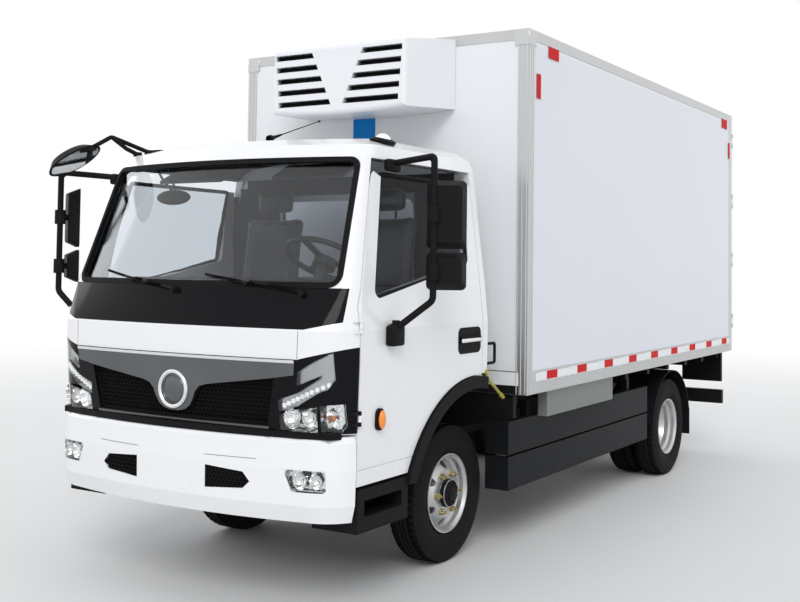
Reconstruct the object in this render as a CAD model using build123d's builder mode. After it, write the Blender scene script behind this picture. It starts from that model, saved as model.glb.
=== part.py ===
from build123d import *
import os
from math import cos, radians, sin

os.makedirs("parts", exist_ok=True)

# Refrigerated truck with a tilting cab, millimetres.
# X runs to the truck's left, Y to its rear and Z up. The ground is Z = 0.
# The origin is on the ground, half way along and in the middle of the truck.

# Driving sizes of the whole truck
front_overhang = 1365
wheelbase = 3165
box_behind_axle = 392
box_length = 4205
box_width = 2115
box_top_z = 3025
box_bottom_z = 894
hinge_pin_reach = 18
hinge_barrel_radius = 14

rear_fitting_reach = hinge_pin_reach + hinge_barrel_radius
overall_length = front_overhang + box_behind_axle + box_length + rear_fitting_reach
front_axle_y = front_overhang - overall_length / 2
rear_axle_y = front_axle_y + wheelbase
box_front_y = front_axle_y + box_behind_axle
box_rear_y = box_front_y + box_length
box_half = box_width / 2

# Wheels: 16 inch discs, single in front and twin behind
tyre_radius = 377
tyre_width = 185
tread_width = 148
rim_flange_radius = 216
rim_seat_radius = 203
rim_well_radius = 187
rim_half_width = 78
rim_metal = 7
bead_gap = 0.3
front_wheel_x = 695
rear_outer_x = 872
twin_spacing = 214
nut_circle_radius = 111
nut_count = 6
nut_sides = 6
nut_radius = 15
nut_height = 22
hand_hole_radius = 23
hand_hole_circle_radius = 156
hand_hole_depth = 160
half_turn = 180
hub_radius = 76
running_clearance = 0.05
small_gap = 0.3
panel_gap = 6
overrun = 40

# Chassis frame
rail_height = 180
rail_flange = 60
rail_metal = 7
frame_half_width = 350
frame_top_z = 730
frame_front_reach = 1185
frame_rear_setback = 60
member_height = 56
member_width = 60

# Cargo body
wall_thickness = 80
roof_thickness = 80
floor_thickness = 90
trim_metal = 4
top_rail_height = 62
bottom_rail_height = 135
corner_trim_width = 70
rear_frame_depth = 80
rear_post_width = 62
rear_header_height = 96
rear_sill_height = 135
door_seal_gap = 6

# Cab
cab_half_width = 955
cab_front_reach = 1356
cab_rear_reach = 105
cab_bottom_z = 600
cab_roof_z = 2300
cab_wall = 45
door_thickness = 75
door_front_reach = 1131
door_bottom_z = 615
door_rear_reach = 45
arch_centre_reach = 30
arch_centre_z = 310
arch_radius = 730
flare_width = 66
cab_floor_z = 1090
cab_floor_thickness = 45
footwell_z = 905
footwell_reach = 640

cab_rise = cab_roof_z - cab_bottom_z
arch_centre_y = front_axle_y - arch_centre_reach
cab_rear_y = front_axle_y + cab_rear_reach
door_front_y = front_axle_y - door_front_reach
door_rear_y = front_axle_y + door_rear_reach
footwell_y = front_axle_y - footwell_reach


def across(y):
    """Plane that faces forward at station y, with local x = X and local y = Z."""
    return Plane.XZ.offset(-y)


def along(x):
    """Plane that faces the truck's left at x, with local x = Y and local y = Z."""
    return Plane.YZ.offset(x)


def block(x_low, x_high, y_low, y_high, z_low, z_high, mode=Mode.ADD):
    """Straight bar or plate between two opposite corners."""
    with Locations(((x_low + x_high) / 2, (y_low + y_high) / 2, (z_low + z_high) / 2)):
        Box(abs(x_high - x_low), y_high - y_low, z_high - z_low, mode=mode)


pieces = {}

# Cab outline: one row for each level, from the sill to the crown of the roof.
# Columns, as shares of the cab's rise, its front reach and its half width:
# height, front at the middle, front at the bend, side at the bend, bend, half width
cab_section_shares = [
    (0.000, 0.959, 0.922, 0.833, 0.784, 0.985),
    (0.350, 1.000, 0.961, 0.835, 0.784, 1.000),
    (0.430, 1.000, 0.960, 0.835, 0.800, 1.000),
    (0.545, 0.981, 0.867, 0.808, 0.919, 0.979),
    (0.920, 0.796, 0.697, 0.642, 0.861, 0.890),
    (0.959, 0.756, 0.653, 0.601, 0.827, 0.861),
    (0.985, 0.664, 0.553, 0.509, 0.733, 0.775),
    (1.000, 0.457, 0.369, 0.332, 0.503, 0.555),
]
corner_bulge_share = 0.13
roof_row_share = 0.9


def cab_form(inset):
    """The cab's outer form, drawn in by an even wall thickness."""
    with BuildPart() as form:
        for rise, front, bend_front, side_front, bend, width in cab_section_shares:
            lowered = inset if rise > roof_row_share else 0
            level_z = cab_bottom_z + rise * cab_rise - lowered
            front_y = front_axle_y - front * cab_front_reach + inset
            bend_y = front_axle_y - bend_front * cab_front_reach + inset
            side_y = front_axle_y - side_front * cab_front_reach + inset
            bend_x = bend * cab_half_width - inset
            side_x = width * cab_half_width - inset
            rear_y = cab_rear_y - inset
            chord = ((side_x - bend_x) ** 2 + (side_y - bend_y) ** 2) ** 0.5
            bulge = corner_bulge_share * chord
            with BuildSketch(Plane.XY.offset(level_z)):
                with BuildLine():
                    ThreePointArc((-bend_x, bend_y), (0, front_y), (bend_x, bend_y))
                    SagittaArc((bend_x, bend_y), (side_x, side_y), -bulge)
                    Line((side_x, side_y), (side_x, rear_y))
                    Line((side_x, rear_y), (-side_x, rear_y))
                    Line((-side_x, rear_y), (-side_x, side_y))
                    SagittaArc((-side_x, side_y), (-bend_x, bend_y), -bulge)
                make_face()
        loft(ruled=True)
    return form


def side_prism(x_from, x_to, outline_points, radius=0):
    """Prism across the truck between two x stations, from an outline in Y and Z."""
    with BuildPart() as prism:
        with BuildSketch(along(min(x_from, x_to))):
            with BuildLine():
                Polyline(*outline_points, close=True)
            make_face()
            if radius > 0:
                fillet(vertices(), radius)
        extrude(amount=abs(x_to - x_from))
    return prism


def front_prism(outline_points, radius=0, shrink=0):
    """Prism that runs forward through the cab's front, from an outline in X and Z."""
    with BuildPart() as prism:
        with BuildSketch(across(front_axle_y - front_mask_reach)):
            with BuildLine():
                Polyline(*outline_points, close=True)
            make_face()
            if radius > 0:
                fillet(vertices(), radius)
            if shrink != 0:
                offset(amount=-shrink)
        extrude(amount=cab_front_reach)
    return prism


def skin(outer_inset, inner_inset, *prisms, cuts=()):
    """The layer of the cab between two insets that lies inside the given prisms."""
    with BuildPart() as layer:
        for prism in prisms:
            add(prism.part)
        add(cab_forms[outer_inset].part, mode=Mode.INTERSECT)
        add(cab_forms[inner_inset].part, mode=Mode.SUBTRACT)
        for cut in cuts:
            add(cut.part, mode=Mode.SUBTRACT)
    return layer


# Masks on the cab's front and sides
front_mask_reach = 700
seal_width = 26
seal_proud = 3
glass_inset = 16
glass_thickness = 6
screen_low_z = 1527
screen_top_z = 2163
screen_low_half = 872
screen_top_half = 818
screen_corner_radius = 60
black_panel_low_z = 1337
black_panel_half = 905
grille_zone_top_z = 1200
grille_zone_low_z = 862
grille_zone_bend_half = 722
grille_zone_side_z = 1268
mesh_top_z = 1155
mesh_top_half = 605
mesh_bottom_z = 888
mesh_bottom_half = 552
mesh_inset = 14
mesh_thickness = 5
wing_proud = 10
wiper_gap = seal_proud + small_gap
wiper_height = 14

cab_forms = {}
for inset in (0, cab_wall, cab_wall + small_gap, door_thickness, glass_inset, glass_inset + glass_thickness,
              -seal_proud, mesh_inset, mesh_inset + mesh_thickness, -wing_proud, -wiper_height,
              -wiper_gap, -small_gap):
    cab_forms[inset] = cab_form(inset)

screen_outline = [
    (-screen_low_half, screen_low_z),
    (screen_low_half, screen_low_z),
    (screen_top_half, screen_top_z),
    (-screen_top_half, screen_top_z),
]
screen_prism = front_prism(screen_outline, screen_corner_radius)
screen_glass_prism = front_prism(screen_outline, screen_corner_radius, seal_width)
screen_glass_fit = front_prism(screen_outline, screen_corner_radius, seal_width + small_gap)
screen_seal_fit = front_prism(screen_outline, screen_corner_radius, small_gap)

# Doors: front edge, top and rear edge, less the circle of the wheel arch
door_waist_z = 1440
door_top_reach = 905
door_top_z = 2152
window_front_low_reach = 1008
window_front_low_z = 1468
window_front_top_reach = 845
window_top_z = 2092
window_rear_top_reach = 25
window_rear_low_reach = 60
window_rear_low_z = 1650
window_corner_radius = 40
door_depth = 95


def door_outline(grow):
    """Door outline in Y and Z, grown by a gap for the opening that it closes."""
    return [
        (front_axle_y - door_front_reach - grow, door_bottom_z - grow),
        (door_rear_y + grow, door_bottom_z - grow),
        (door_rear_y + grow, door_top_z + grow),
        (front_axle_y - door_top_reach - grow, door_top_z + grow),
        (front_axle_y - door_front_reach - grow, door_waist_z),
    ]


window_outline = [
    (front_axle_y - window_front_low_reach, window_front_low_z),
    (front_axle_y - window_rear_low_reach, window_rear_low_z),
    (front_axle_y - window_rear_top_reach, window_top_z),
    (front_axle_y - window_front_top_reach, window_top_z),
]

with BuildPart() as arch_cut:
    with BuildSketch(along(-cab_half_width - overrun)):
        with Locations((arch_centre_y, arch_centre_z)):
            Circle(arch_radius)
    extrude(amount=2 * (cab_half_width + overrun))

# Behind the outer skin the door's edge stands further back, so it swings past the flare
arch_relief = 14
arch_lip_depth = 30
with BuildPart() as arch_relief_cut:
    with BuildSketch(along(-cab_half_width + arch_lip_depth)):
        with Locations((arch_centre_y, arch_centre_z)):
            Circle(arch_radius + arch_relief)
    extrude(amount=2 * (cab_half_width - arch_lip_depth))

upper_opening_half = 740
upper_door_outline = [
    (front_axle_y - door_front_reach - panel_gap, door_waist_z),
    (door_rear_y + panel_gap, door_waist_z),
    (door_rear_y + panel_gap, door_top_z + panel_gap),
    (front_axle_y - door_top_reach - panel_gap, door_top_z + panel_gap),
]
door_prisms = {}
opening_prisms = {}
upper_openings = {}
window_prisms = {}
window_fit_prisms = {}
for side in (1, -1):
    x_in = side * (cab_half_width - door_depth)
    x_out = side * (cab_half_width + overrun)
    door_prisms[side] = side_prism(x_in, x_out, door_outline(0))
    opening_prisms[side] = side_prism(x_in, x_out, door_outline(panel_gap))
    upper_openings[side] = side_prism(side * upper_opening_half, x_out, upper_door_outline)
    window_prisms[side] = side_prism(x_in - side * door_depth, x_out, window_outline, window_corner_radius)
    with BuildPart() as window_fit:
        with BuildSketch(along(min(x_in - side * door_depth, x_out))):
            with BuildLine():
                Polyline(*window_outline, close=True)
            make_face()
            fillet(vertices(), window_corner_radius)
            offset(amount=-small_gap)
        extrude(amount=door_depth + door_depth + overrun)
    window_fit_prisms[side] = window_fit

# Rear window of the cab
rear_window_half = 480
rear_window_low_z = 1560
rear_window_top_z = 2020
rear_window_radius = 50

with BuildPart() as rear_window_cut:
    with BuildSketch(across(cab_rear_y + overrun)):
        with Locations((0, (rear_window_low_z + rear_window_top_z) / 2)):
            RectangleRounded(2 * rear_window_half, rear_window_top_z - rear_window_low_z, rear_window_radius)
    extrude(amount=cab_wall + 2 * overrun)

with BuildPart() as rear_window:
    with BuildSketch(across(cab_rear_y - (cab_wall - glass_thickness) / 2)):
        with Locations((0, (rear_window_low_z + rear_window_top_z) / 2)):
            RectangleRounded(
                2 * (rear_window_half - small_gap),
                rear_window_top_z - rear_window_low_z - 2 * small_gap,
                rear_window_radius - small_gap,
            )
    extrude(amount=glass_thickness)
pieces["cab_rear_window"] = rear_window

# Front zones: the black panel, the grille with its dark surround, and the lamps
black_panel_bend_half = 749
black_panel_corner_z = 1372
black_panel_outline = [
    (-black_panel_bend_half, black_panel_low_z),
    (black_panel_bend_half, black_panel_low_z),
    (black_panel_half, black_panel_corner_z),
    (black_panel_half, screen_low_z),
    (-black_panel_half, screen_low_z),
    (-black_panel_half, black_panel_corner_z),
]
grille_zone_half = cab_half_width + overrun
grille_zone_outline = [
    (-grille_zone_half, grille_zone_low_z),
    (grille_zone_half, grille_zone_low_z),
    (grille_zone_half, grille_zone_side_z),
    (grille_zone_bend_half, grille_zone_top_z),
    (-grille_zone_bend_half, grille_zone_top_z),
    (-grille_zone_half, grille_zone_side_z),
]
mesh_outline = [
    (-mesh_bottom_half, mesh_bottom_z),
    (mesh_bottom_half, mesh_bottom_z),
    (mesh_top_half, mesh_top_z),
    (-mesh_top_half, mesh_top_z),
]
front_door_edge_y = door_front_y - panel_gap

# Each headlamp shows three windows in the dark surround, as X and Z on the left side:
# a hooked day running lamp, the main lamp, and the turn lamp
lamp_windows = (
    (
        (722, 1142), (880, 1237), (886, 1110), (858, 1066), (820, 1050), (716, 985),
        (616, 955), (616, 1010), (716, 1045), (822, 1112), (826, 1126), (716, 1078),
    ),
    ((640, 985), (812, 992), (812, 868), (618, 872)),
    ((824, 992), (915, 999), (920, 900), (900, 862), (826, 862)),
)


def lamp_outline(side, window):
    """Outline of one lamp window in X and Z."""
    return [(side * window_x, window_z) for window_x, window_z in window]


black_panel_prism = front_prism(black_panel_outline)
black_panel_fit = front_prism(black_panel_outline, shrink=small_gap)
zone_prism = front_prism(grille_zone_outline)
zone_fit = front_prism(grille_zone_outline, shrink=small_gap)
mesh_prism = front_prism(mesh_outline)
mesh_fit = front_prism(mesh_outline, shrink=small_gap)
lamp_prisms = []
lamp_fits = []
for side in (1, -1):
    for window in lamp_windows:
        lamp_prisms.append(front_prism(lamp_outline(side, window)))
        lamp_fits.append(front_prism(lamp_outline(side, window), shrink=small_gap))

# Only the part of a zone ahead of the doors is cut from the shell
with BuildPart() as front_of_doors:
    block(
        -cab_half_width - overrun, cab_half_width + overrun,
        front_axle_y - cab_front_reach - overrun, front_door_edge_y,
        cab_bottom_z, cab_roof_z,
    )
with BuildPart() as zone_cut:
    add(zone_prism.part)
    add(front_of_doors.part, mode=Mode.INTERSECT)

door_cuts = tuple(opening_prisms[side] for side in (1, -1)) + tuple(upper_openings[side] for side in (1, -1))
pieces["front_panel"] = skin(0, cab_wall, black_panel_fit, cuts=(screen_prism, *door_cuts))

with BuildPart() as grille_surround:
    add(zone_fit.part)
    add(front_of_doors.part, mode=Mode.INTERSECT)
    add(cab_forms[0].part, mode=Mode.INTERSECT)
    add(cab_forms[cab_wall].part, mode=Mode.SUBTRACT)
    add(mesh_prism.part, mode=Mode.SUBTRACT)
    for prism in lamp_prisms:
        add(prism.part, mode=Mode.SUBTRACT)
pieces["grille_surround"] = grille_surround

pieces["grille_mesh"] = skin(mesh_inset, mesh_inset + mesh_thickness, mesh_fit)
pieces["headlamps"] = skin(0, cab_wall, *lamp_fits, cuts=door_cuts)

# Winged bar across the grille, with a plain ring at its middle
wing_end_half = 622
wing_end_z = 1150
wing_end_height = 34
wing_dip_half = 130
wing_dip_z = 1040
wing_dip_height = 46
ring_z = 1030
ring_radius = 88
ring_hole_radius = 66


def wing_outline(side):
    """One half of the bar, from the ring out to the grille's end."""
    return [
        (0, wing_dip_z - wing_dip_height / 2),
        (side * wing_dip_half, wing_dip_z - wing_dip_height / 2),
        (side * wing_end_half, wing_end_z - wing_end_height / 2),
        (side * wing_end_half, wing_end_z + wing_end_height / 2),
        (side * wing_dip_half, wing_dip_z + wing_dip_height / 2),
        (0, wing_dip_z + wing_dip_height / 2),
    ]


with BuildPart() as wing_bar:
    with BuildSketch(across(front_axle_y - front_mask_reach)):
        for side in (1, -1):
            with BuildLine():
                Polyline(*wing_outline(side), close=True)
            make_face()
        with Locations((0, ring_z)):
            Circle(ring_radius)
    extrude(amount=cab_front_reach)
    add(cab_forms[-wing_proud].part, mode=Mode.INTERSECT)
    add(cab_forms[0].part, mode=Mode.SUBTRACT)
    with BuildSketch(across(front_axle_y - front_mask_reach)):
        with Locations((0, ring_z)):
            Circle(ring_hole_radius)
    extrude(amount=cab_front_reach, mode=Mode.SUBTRACT)
pieces["wing_bar"] = wing_bar

# Windshield, its rubber seal and the wipers
pieces["windshield"] = skin(glass_inset, glass_inset + glass_thickness, screen_glass_fit)
seal_cuts = (screen_glass_prism, *door_cuts)
pieces["windshield_seal"] = skin(-seal_proud, cab_wall, screen_seal_fit, cuts=seal_cuts)

wiper_width = 18
wiper_pivot_z = 1506
wiper_boss_radius = 16
wiper_pivots = (-12, 700)
wiper_reach = 600
wiper_rise = 62

with BuildPart() as wiper_bosses:
    with BuildSketch(across(front_axle_y - front_mask_reach)):
        with Locations(*[(pivot_x, wiper_pivot_z) for pivot_x in wiper_pivots]):
            Circle(wiper_boss_radius)
    extrude(amount=cab_front_reach)
    add(cab_forms[-wiper_height].part, mode=Mode.INTERSECT)
    add(cab_forms[-small_gap].part, mode=Mode.SUBTRACT)

with BuildPart() as wipers:
    with BuildSketch(across(front_axle_y - front_mask_reach)):
        for pivot_x in wiper_pivots:
            with BuildLine():
                Polyline(
                    (pivot_x, wiper_pivot_z - wiper_width),
                    (pivot_x + wiper_width, wiper_pivot_z),
                    (pivot_x - wiper_reach, wiper_pivot_z + wiper_rise + wiper_width),
                    (pivot_x - wiper_reach, wiper_pivot_z + wiper_rise),
                    close=True,
                )
            make_face()
    extrude(amount=cab_front_reach)
    add(cab_forms[-wiper_height].part, mode=Mode.INTERSECT)
    add(cab_forms[-wiper_gap].part, mode=Mode.SUBTRACT)
    add(wiper_bosses.part)
pieces["wipers"] = wipers

# Cab shell: walls, roof, stepped floor and the wall behind the grille
firewall_reach = 1135
shelf_reach = 1225
firewall_top_z = 1480
pivot_reach = 1120
pivot_z = 775
pivot_y = front_axle_y - pivot_reach
pivot_pin_radius = 20
yoke_thickness = 12
yoke_half_depth = 38
bracket_thickness = 14
pivot_bracket_x = frame_half_width - rail_flange / 2
firewall_y = front_axle_y - firewall_reach

with BuildPart() as cab_floor:
    block(
        -cab_half_width, cab_half_width, footwell_y, cab_rear_y,
        cab_floor_z - cab_floor_thickness, cab_floor_z,
    )
    block(
        -cab_half_width, cab_half_width, footwell_y - cab_floor_thickness, footwell_y,
        footwell_z - cab_floor_thickness, cab_floor_z,
    )
    block(
        -cab_half_width, cab_half_width, front_axle_y - shelf_reach, footwell_y,
        footwell_z - cab_floor_thickness, footwell_z,
    )
    block(
        -cab_half_width, cab_half_width, firewall_y, firewall_y + cab_wall,
        footwell_z, firewall_top_z,
    )
    add(cab_forms[cab_wall].part, mode=Mode.INTERSECT)

with BuildPart() as cab_shell:
    add(cab_forms[0].part)
    add(cab_forms[cab_wall].part, mode=Mode.SUBTRACT)
    block(
        -cab_half_width - overrun, cab_half_width + overrun, footwell_y, cab_rear_y + overrun,
        cab_bottom_z - overrun, cab_floor_z - cab_floor_thickness, mode=Mode.SUBTRACT,
    )
    block(
        -cab_half_width - overrun, cab_half_width + overrun,
        front_axle_y - cab_front_reach - overrun, footwell_y,
        cab_bottom_z - overrun, footwell_z - cab_floor_thickness, mode=Mode.SUBTRACT,
    )
    add(zone_cut.part, mode=Mode.SUBTRACT)
    add(black_panel_prism.part, mode=Mode.SUBTRACT)
    add(cab_floor.part)
    add(screen_prism.part, mode=Mode.SUBTRACT)
    add(rear_window_cut.part, mode=Mode.SUBTRACT)
    for cut in door_cuts:
        add(cut.part, mode=Mode.SUBTRACT)
    # Yokes under the shelf carry the pin that the cab tilts on
    for side in (1, -1):
        for shift in (-1, 1):
            yoke_x = side * pivot_bracket_x + shift * (bracket_thickness / 2 + panel_gap + yoke_thickness / 2)
            block(
                yoke_x - yoke_thickness / 2, yoke_x + yoke_thickness / 2,
                pivot_y - yoke_half_depth, pivot_y + yoke_half_depth,
                pivot_z, footwell_z - cab_floor_thickness,
            )
            with BuildSketch(along(yoke_x - yoke_thickness / 2)):
                with Locations((pivot_y, pivot_z)):
                    Circle(yoke_half_depth)
            extrude(amount=yoke_thickness)
        pin_reach = bracket_thickness / 2 + panel_gap + yoke_thickness
        with BuildSketch(along(side * pivot_bracket_x - pin_reach)):
            with Locations((pivot_y, pivot_z)):
                Circle(pivot_pin_radius)
        extrude(amount=2 * pin_reach)
pieces["cab_shell"] = cab_shell
print("shell solids", len(cab_shell.part.solids()))

# Hinges of the cab doors: a pin and two barrels on the cab, one barrel on the door
door_hinge_stand = 2
door_hinge_x = cab_half_width + door_hinge_stand
door_hinge_y = door_front_y - door_hinge_stand
door_hinge_radius = 8
door_hinge_pin_radius = 4
door_hinge_relief = 2
door_barrel_height = 30
cab_barrel_height = 18
door_leaf_length = 34
door_leaf_depth = 30
hinge_owners = ((1355, "cab_shell"), (930, "grille_surround"))
hinge_half_height = door_barrel_height / 2 + door_hinge_relief + cab_barrel_height


def upright(x, y, low_z, top_z, radius, mode=Mode.ADD):
    """Upright round bar between two heights."""
    with Locations((x, y, (low_z + top_z) / 2)):
        Cylinder(radius, top_z - low_z, mode=mode)


for owner_z, owner in hinge_owners:
    with BuildPart() as hinged:
        add(pieces[owner].part)
        for side in (1, -1):
            pin_x = side * door_hinge_x
            leaf_x = (pin_x, side * (door_hinge_x - door_leaf_depth))
            upright(
                pin_x, door_hinge_y, owner_z - door_barrel_height / 2 - door_hinge_relief,
                owner_z + door_barrel_height / 2 + door_hinge_relief,
                door_hinge_radius + door_hinge_relief, mode=Mode.SUBTRACT,
            )
            for lift in (-1, 1):
                barrel_z = owner_z + lift * (hinge_half_height - cab_barrel_height / 2)
                barrel_low_z = barrel_z - cab_barrel_height / 2
                barrel_top_z = barrel_z + cab_barrel_height / 2
                block(
                    min(leaf_x), max(leaf_x), door_hinge_y - door_leaf_length, door_hinge_y,
                    barrel_low_z, barrel_top_z,
                )
                upright(pin_x, door_hinge_y, barrel_low_z, barrel_top_z, door_hinge_radius)
            upright(
                pin_x, door_hinge_y, owner_z - hinge_half_height, owner_z + hinge_half_height,
                door_hinge_pin_radius,
            )
    pieces[owner] = hinged
    print("hinged", owner, len(hinged.part.solids()))

# Doors of the cab, each with its window glass, handle and side marker lamp
door_seam_z = 688
door_seam_height = 4
door_seam_x = 938
handle_front_reach = 225
handle_rear_reach = -20
handle_low_z = 1165
handle_top_z = 1305
handle_corner = 34
handle_bar_z = 1240
handle_bar_height = 34
handle_bar_proud = 14
handle_bar_inset = 14
marker_front_reach = 998
marker_rear_reach = 938
marker_low_z = 857
marker_top_z = 961
marker_corner = 28

for side, name in ((1, "left"), (-1, "right")):
    fitting_x = (side * (cab_half_width - door_depth), side * (cab_half_width + overrun))
    handle_prism = side_prism(
        fitting_x[0], fitting_x[1],
        [
            (front_axle_y - handle_front_reach, handle_low_z),
            (front_axle_y - handle_rear_reach, handle_low_z),
            (front_axle_y - handle_rear_reach, handle_top_z),
            (front_axle_y - handle_front_reach, handle_top_z),
        ],
        handle_corner,
    )
    marker_prism = side_prism(
        fitting_x[0], fitting_x[1],
        [
            (front_axle_y - marker_front_reach, marker_low_z),
            (front_axle_y - marker_rear_reach, marker_low_z),
            (front_axle_y - marker_rear_reach, marker_top_z),
            (front_axle_y - marker_front_reach, marker_top_z),
        ],
        marker_corner,
    )
    plate = skin(-seal_proud, glass_inset, handle_prism)
    marker = skin(-wiper_height, 0, marker_prism)
    with BuildPart() as door_fittings:
        add(plate.part)
        bar_x = (side * (cab_half_width - seal_proud), side * (cab_half_width + handle_bar_proud))
        block(
            min(bar_x), max(bar_x), front_axle_y - handle_front_reach + handle_bar_inset,
            front_axle_y - handle_rear_reach - handle_bar_inset,
            handle_bar_z - handle_bar_height / 2, handle_bar_z + handle_bar_height / 2,
        )
        add(marker.part)
    pieces["door_fittings_" + name] = door_fittings

    door_skin = skin(
        0, door_thickness, door_prisms[side],
        cuts=(arch_cut, arch_relief_cut, window_prisms[side], plate),
    )
    with BuildPart() as door:
        add(door_skin.part)
        seam_x = (side * door_seam_x, side * (cab_half_width + overrun))
        block(
            min(seam_x), max(seam_x), door_front_y - overrun, door_rear_y + overrun,
            door_seam_z, door_seam_z + door_seam_height, mode=Mode.SUBTRACT,
        )
        pin_x = side * door_hinge_x
        leaf_x = (pin_x, side * (door_hinge_x - door_leaf_depth))
        for hinge_z, owner in hinge_owners:
            upright(
                pin_x, door_hinge_y, hinge_z - hinge_half_height - door_hinge_relief,
                hinge_z + hinge_half_height + door_hinge_relief,
                door_hinge_radius + door_hinge_relief, mode=Mode.SUBTRACT,
            )
            barrel_low_z = hinge_z - door_barrel_height / 2
            barrel_top_z = hinge_z + door_barrel_height / 2
            block(
                min(leaf_x), max(leaf_x), door_hinge_y, door_hinge_y + door_leaf_length,
                barrel_low_z, barrel_top_z,
            )
            upright(pin_x, door_hinge_y, barrel_low_z, barrel_top_z, door_hinge_radius)
            upright(
                pin_x, door_hinge_y, barrel_low_z, barrel_top_z,
                door_hinge_pin_radius + running_clearance, mode=Mode.SUBTRACT,
            )
    glass = skin(glass_inset, glass_inset + glass_thickness, window_fit_prisms[side])
    pieces["cab_door_" + name] = door
    pieces["door_glass_" + name] = glass
    print("door", name, len(door.part.solids()), len(glass.part.solids()))


# Bumper: one row for each level. Columns, as shares of the bumper's height, its
# reach ahead of the axle and its half width:
# height, front at the middle, front at the bend, side at the bend, bend, half width
bumper_bottom_z = 455
bumper_height = 392
bumper_reach = front_overhang
bumper_half_width = 950
bumper_wall = 30
bumper_section_shares = [
    (0.00, 0.978, 0.921, 0.835, 0.79, 0.972),
    (0.20, 0.997, 0.940, 0.838, 0.81, 0.993),
    (0.62, 1.000, 0.944, 0.840, 0.81, 1.000),
    (0.93, 0.994, 0.938, 0.838, 0.81, 0.995),
    (1.00, 0.982, 0.924, 0.836, 0.80, 0.982),
]


def bumper_form(inset):
    """The bumper's outer form, drawn in by an even wall thickness."""
    with BuildPart() as form:
        for rise, front, bend_front, side_front, bend, width in bumper_section_shares:
            front_y = front_axle_y - front * bumper_reach + inset
            bend_y = front_axle_y - bend_front * bumper_reach + inset
            side_y = front_axle_y - side_front * bumper_reach
            bend_x = bend * bumper_half_width - inset
            side_x = width * bumper_half_width - inset
            chord = ((side_x - bend_x) ** 2 + (side_y - bend_y) ** 2) ** 0.5
            bulge = corner_bulge_share * chord
            with BuildSketch(Plane.XY.offset(bumper_bottom_z + rise * bumper_height)):
                with BuildLine():
                    ThreePointArc((-bend_x, bend_y), (0, front_y), (bend_x, bend_y))
                    SagittaArc((bend_x, bend_y), (side_x, side_y), -bulge)
                    Line((side_x, side_y), (-side_x, side_y))
                    SagittaArc((-side_x, side_y), (-bend_x, bend_y), -bulge)
                make_face()
        loft(ruled=True)
    return form


vent_inner_half = 223
vent_top_z = 684
vent_low_z = 577
vent_tip_half = 478
vent_tip_z = 626
vent_shoulder_half = 440
fog_inner_half = 656
fog_outer_half = 858
fog_low_z = 598
fog_top_z = 698
fog_radius = 18
fog_slant = 42
bracket_half_x = 560
bracket_width = 60
bumper_arm_depth = 150


def vent_outline(side):
    """Outline of one of the bumper's air inlets in X and Z."""
    return [
        (side * vent_inner_half, vent_top_z),
        (side * vent_shoulder_half, vent_top_z - bumper_wall / 2),
        (side * vent_tip_half, vent_tip_z),
        (side * vent_shoulder_half, vent_low_z + bumper_wall / 2),
        (side * vent_inner_half, vent_low_z),
    ]


def fog_form(shrink):
    """Prisms through the bumper in the outline of both fog lamps."""
    with BuildPart() as form:
        for side in (1, -1):
            with BuildSketch(across(front_door_edge_y)):
                with BuildLine():
                    Polyline(
                        (side * fog_inner_half, fog_top_z),
                        (side * fog_outer_half, fog_top_z),
                        (side * fog_outer_half, fog_low_z),
                        (side * (fog_inner_half + fog_slant), fog_low_z),
                        close=True,
                    )
                make_face()
                fillet(vertices(), fog_radius)
                if shrink != 0:
                    offset(amount=-shrink)
            extrude(amount=bumper_reach)
    return form


bumper_outer = bumper_form(0)
bumper_inner = bumper_form(bumper_wall)
fog_prism = fog_form(0)
with BuildPart() as fog_lamps:
    add(fog_form(small_gap).part)
    add(bumper_outer.part, mode=Mode.INTERSECT)
    add(bumper_inner.part, mode=Mode.SUBTRACT)
pieces["fog_lamps"] = fog_lamps

with BuildPart() as bumper:
    add(bumper_outer.part)
    add(bumper_inner.part, mode=Mode.SUBTRACT)
    add(fog_prism.part, mode=Mode.SUBTRACT)
    with BuildSketch(across(front_door_edge_y)):
        for side in (1, -1):
            with BuildLine():
                Polyline(*vent_outline(side), close=True)
            make_face()
    extrude(amount=bumper_reach, mode=Mode.SUBTRACT)
    # Arms that carry the bumper under the cab's front shelf
    for side in (1, -1):
        arm_x = side * bracket_half_x
        block(
            arm_x - bracket_width / 2, arm_x + bracket_width / 2,
            front_axle_y - bumper_reach + 2 * bumper_wall, front_axle_y - shelf_reach + bumper_arm_depth,
            bumper_bottom_z + bumper_height - bracket_width, footwell_z - cab_floor_thickness,
        )
pieces["bumper"] = bumper

# Black arch flares with their liners and the entry steps, one solid on each side
flare_outer_radius = arch_radius - panel_gap
flare_inner_radius = flare_outer_radius - flare_width
flare_low_z = 560
flare_proud = 10
flare_in_x = 872
liner_in_x = 520
liner_metal = 6
web_half = 20
step_low_z = 400
step_top_z = 600
step_in_x = 690
step_rear_reach = 700
step_recess_low_z = 470
step_recess_depth = 170
step_recess_margin = 55

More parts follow.
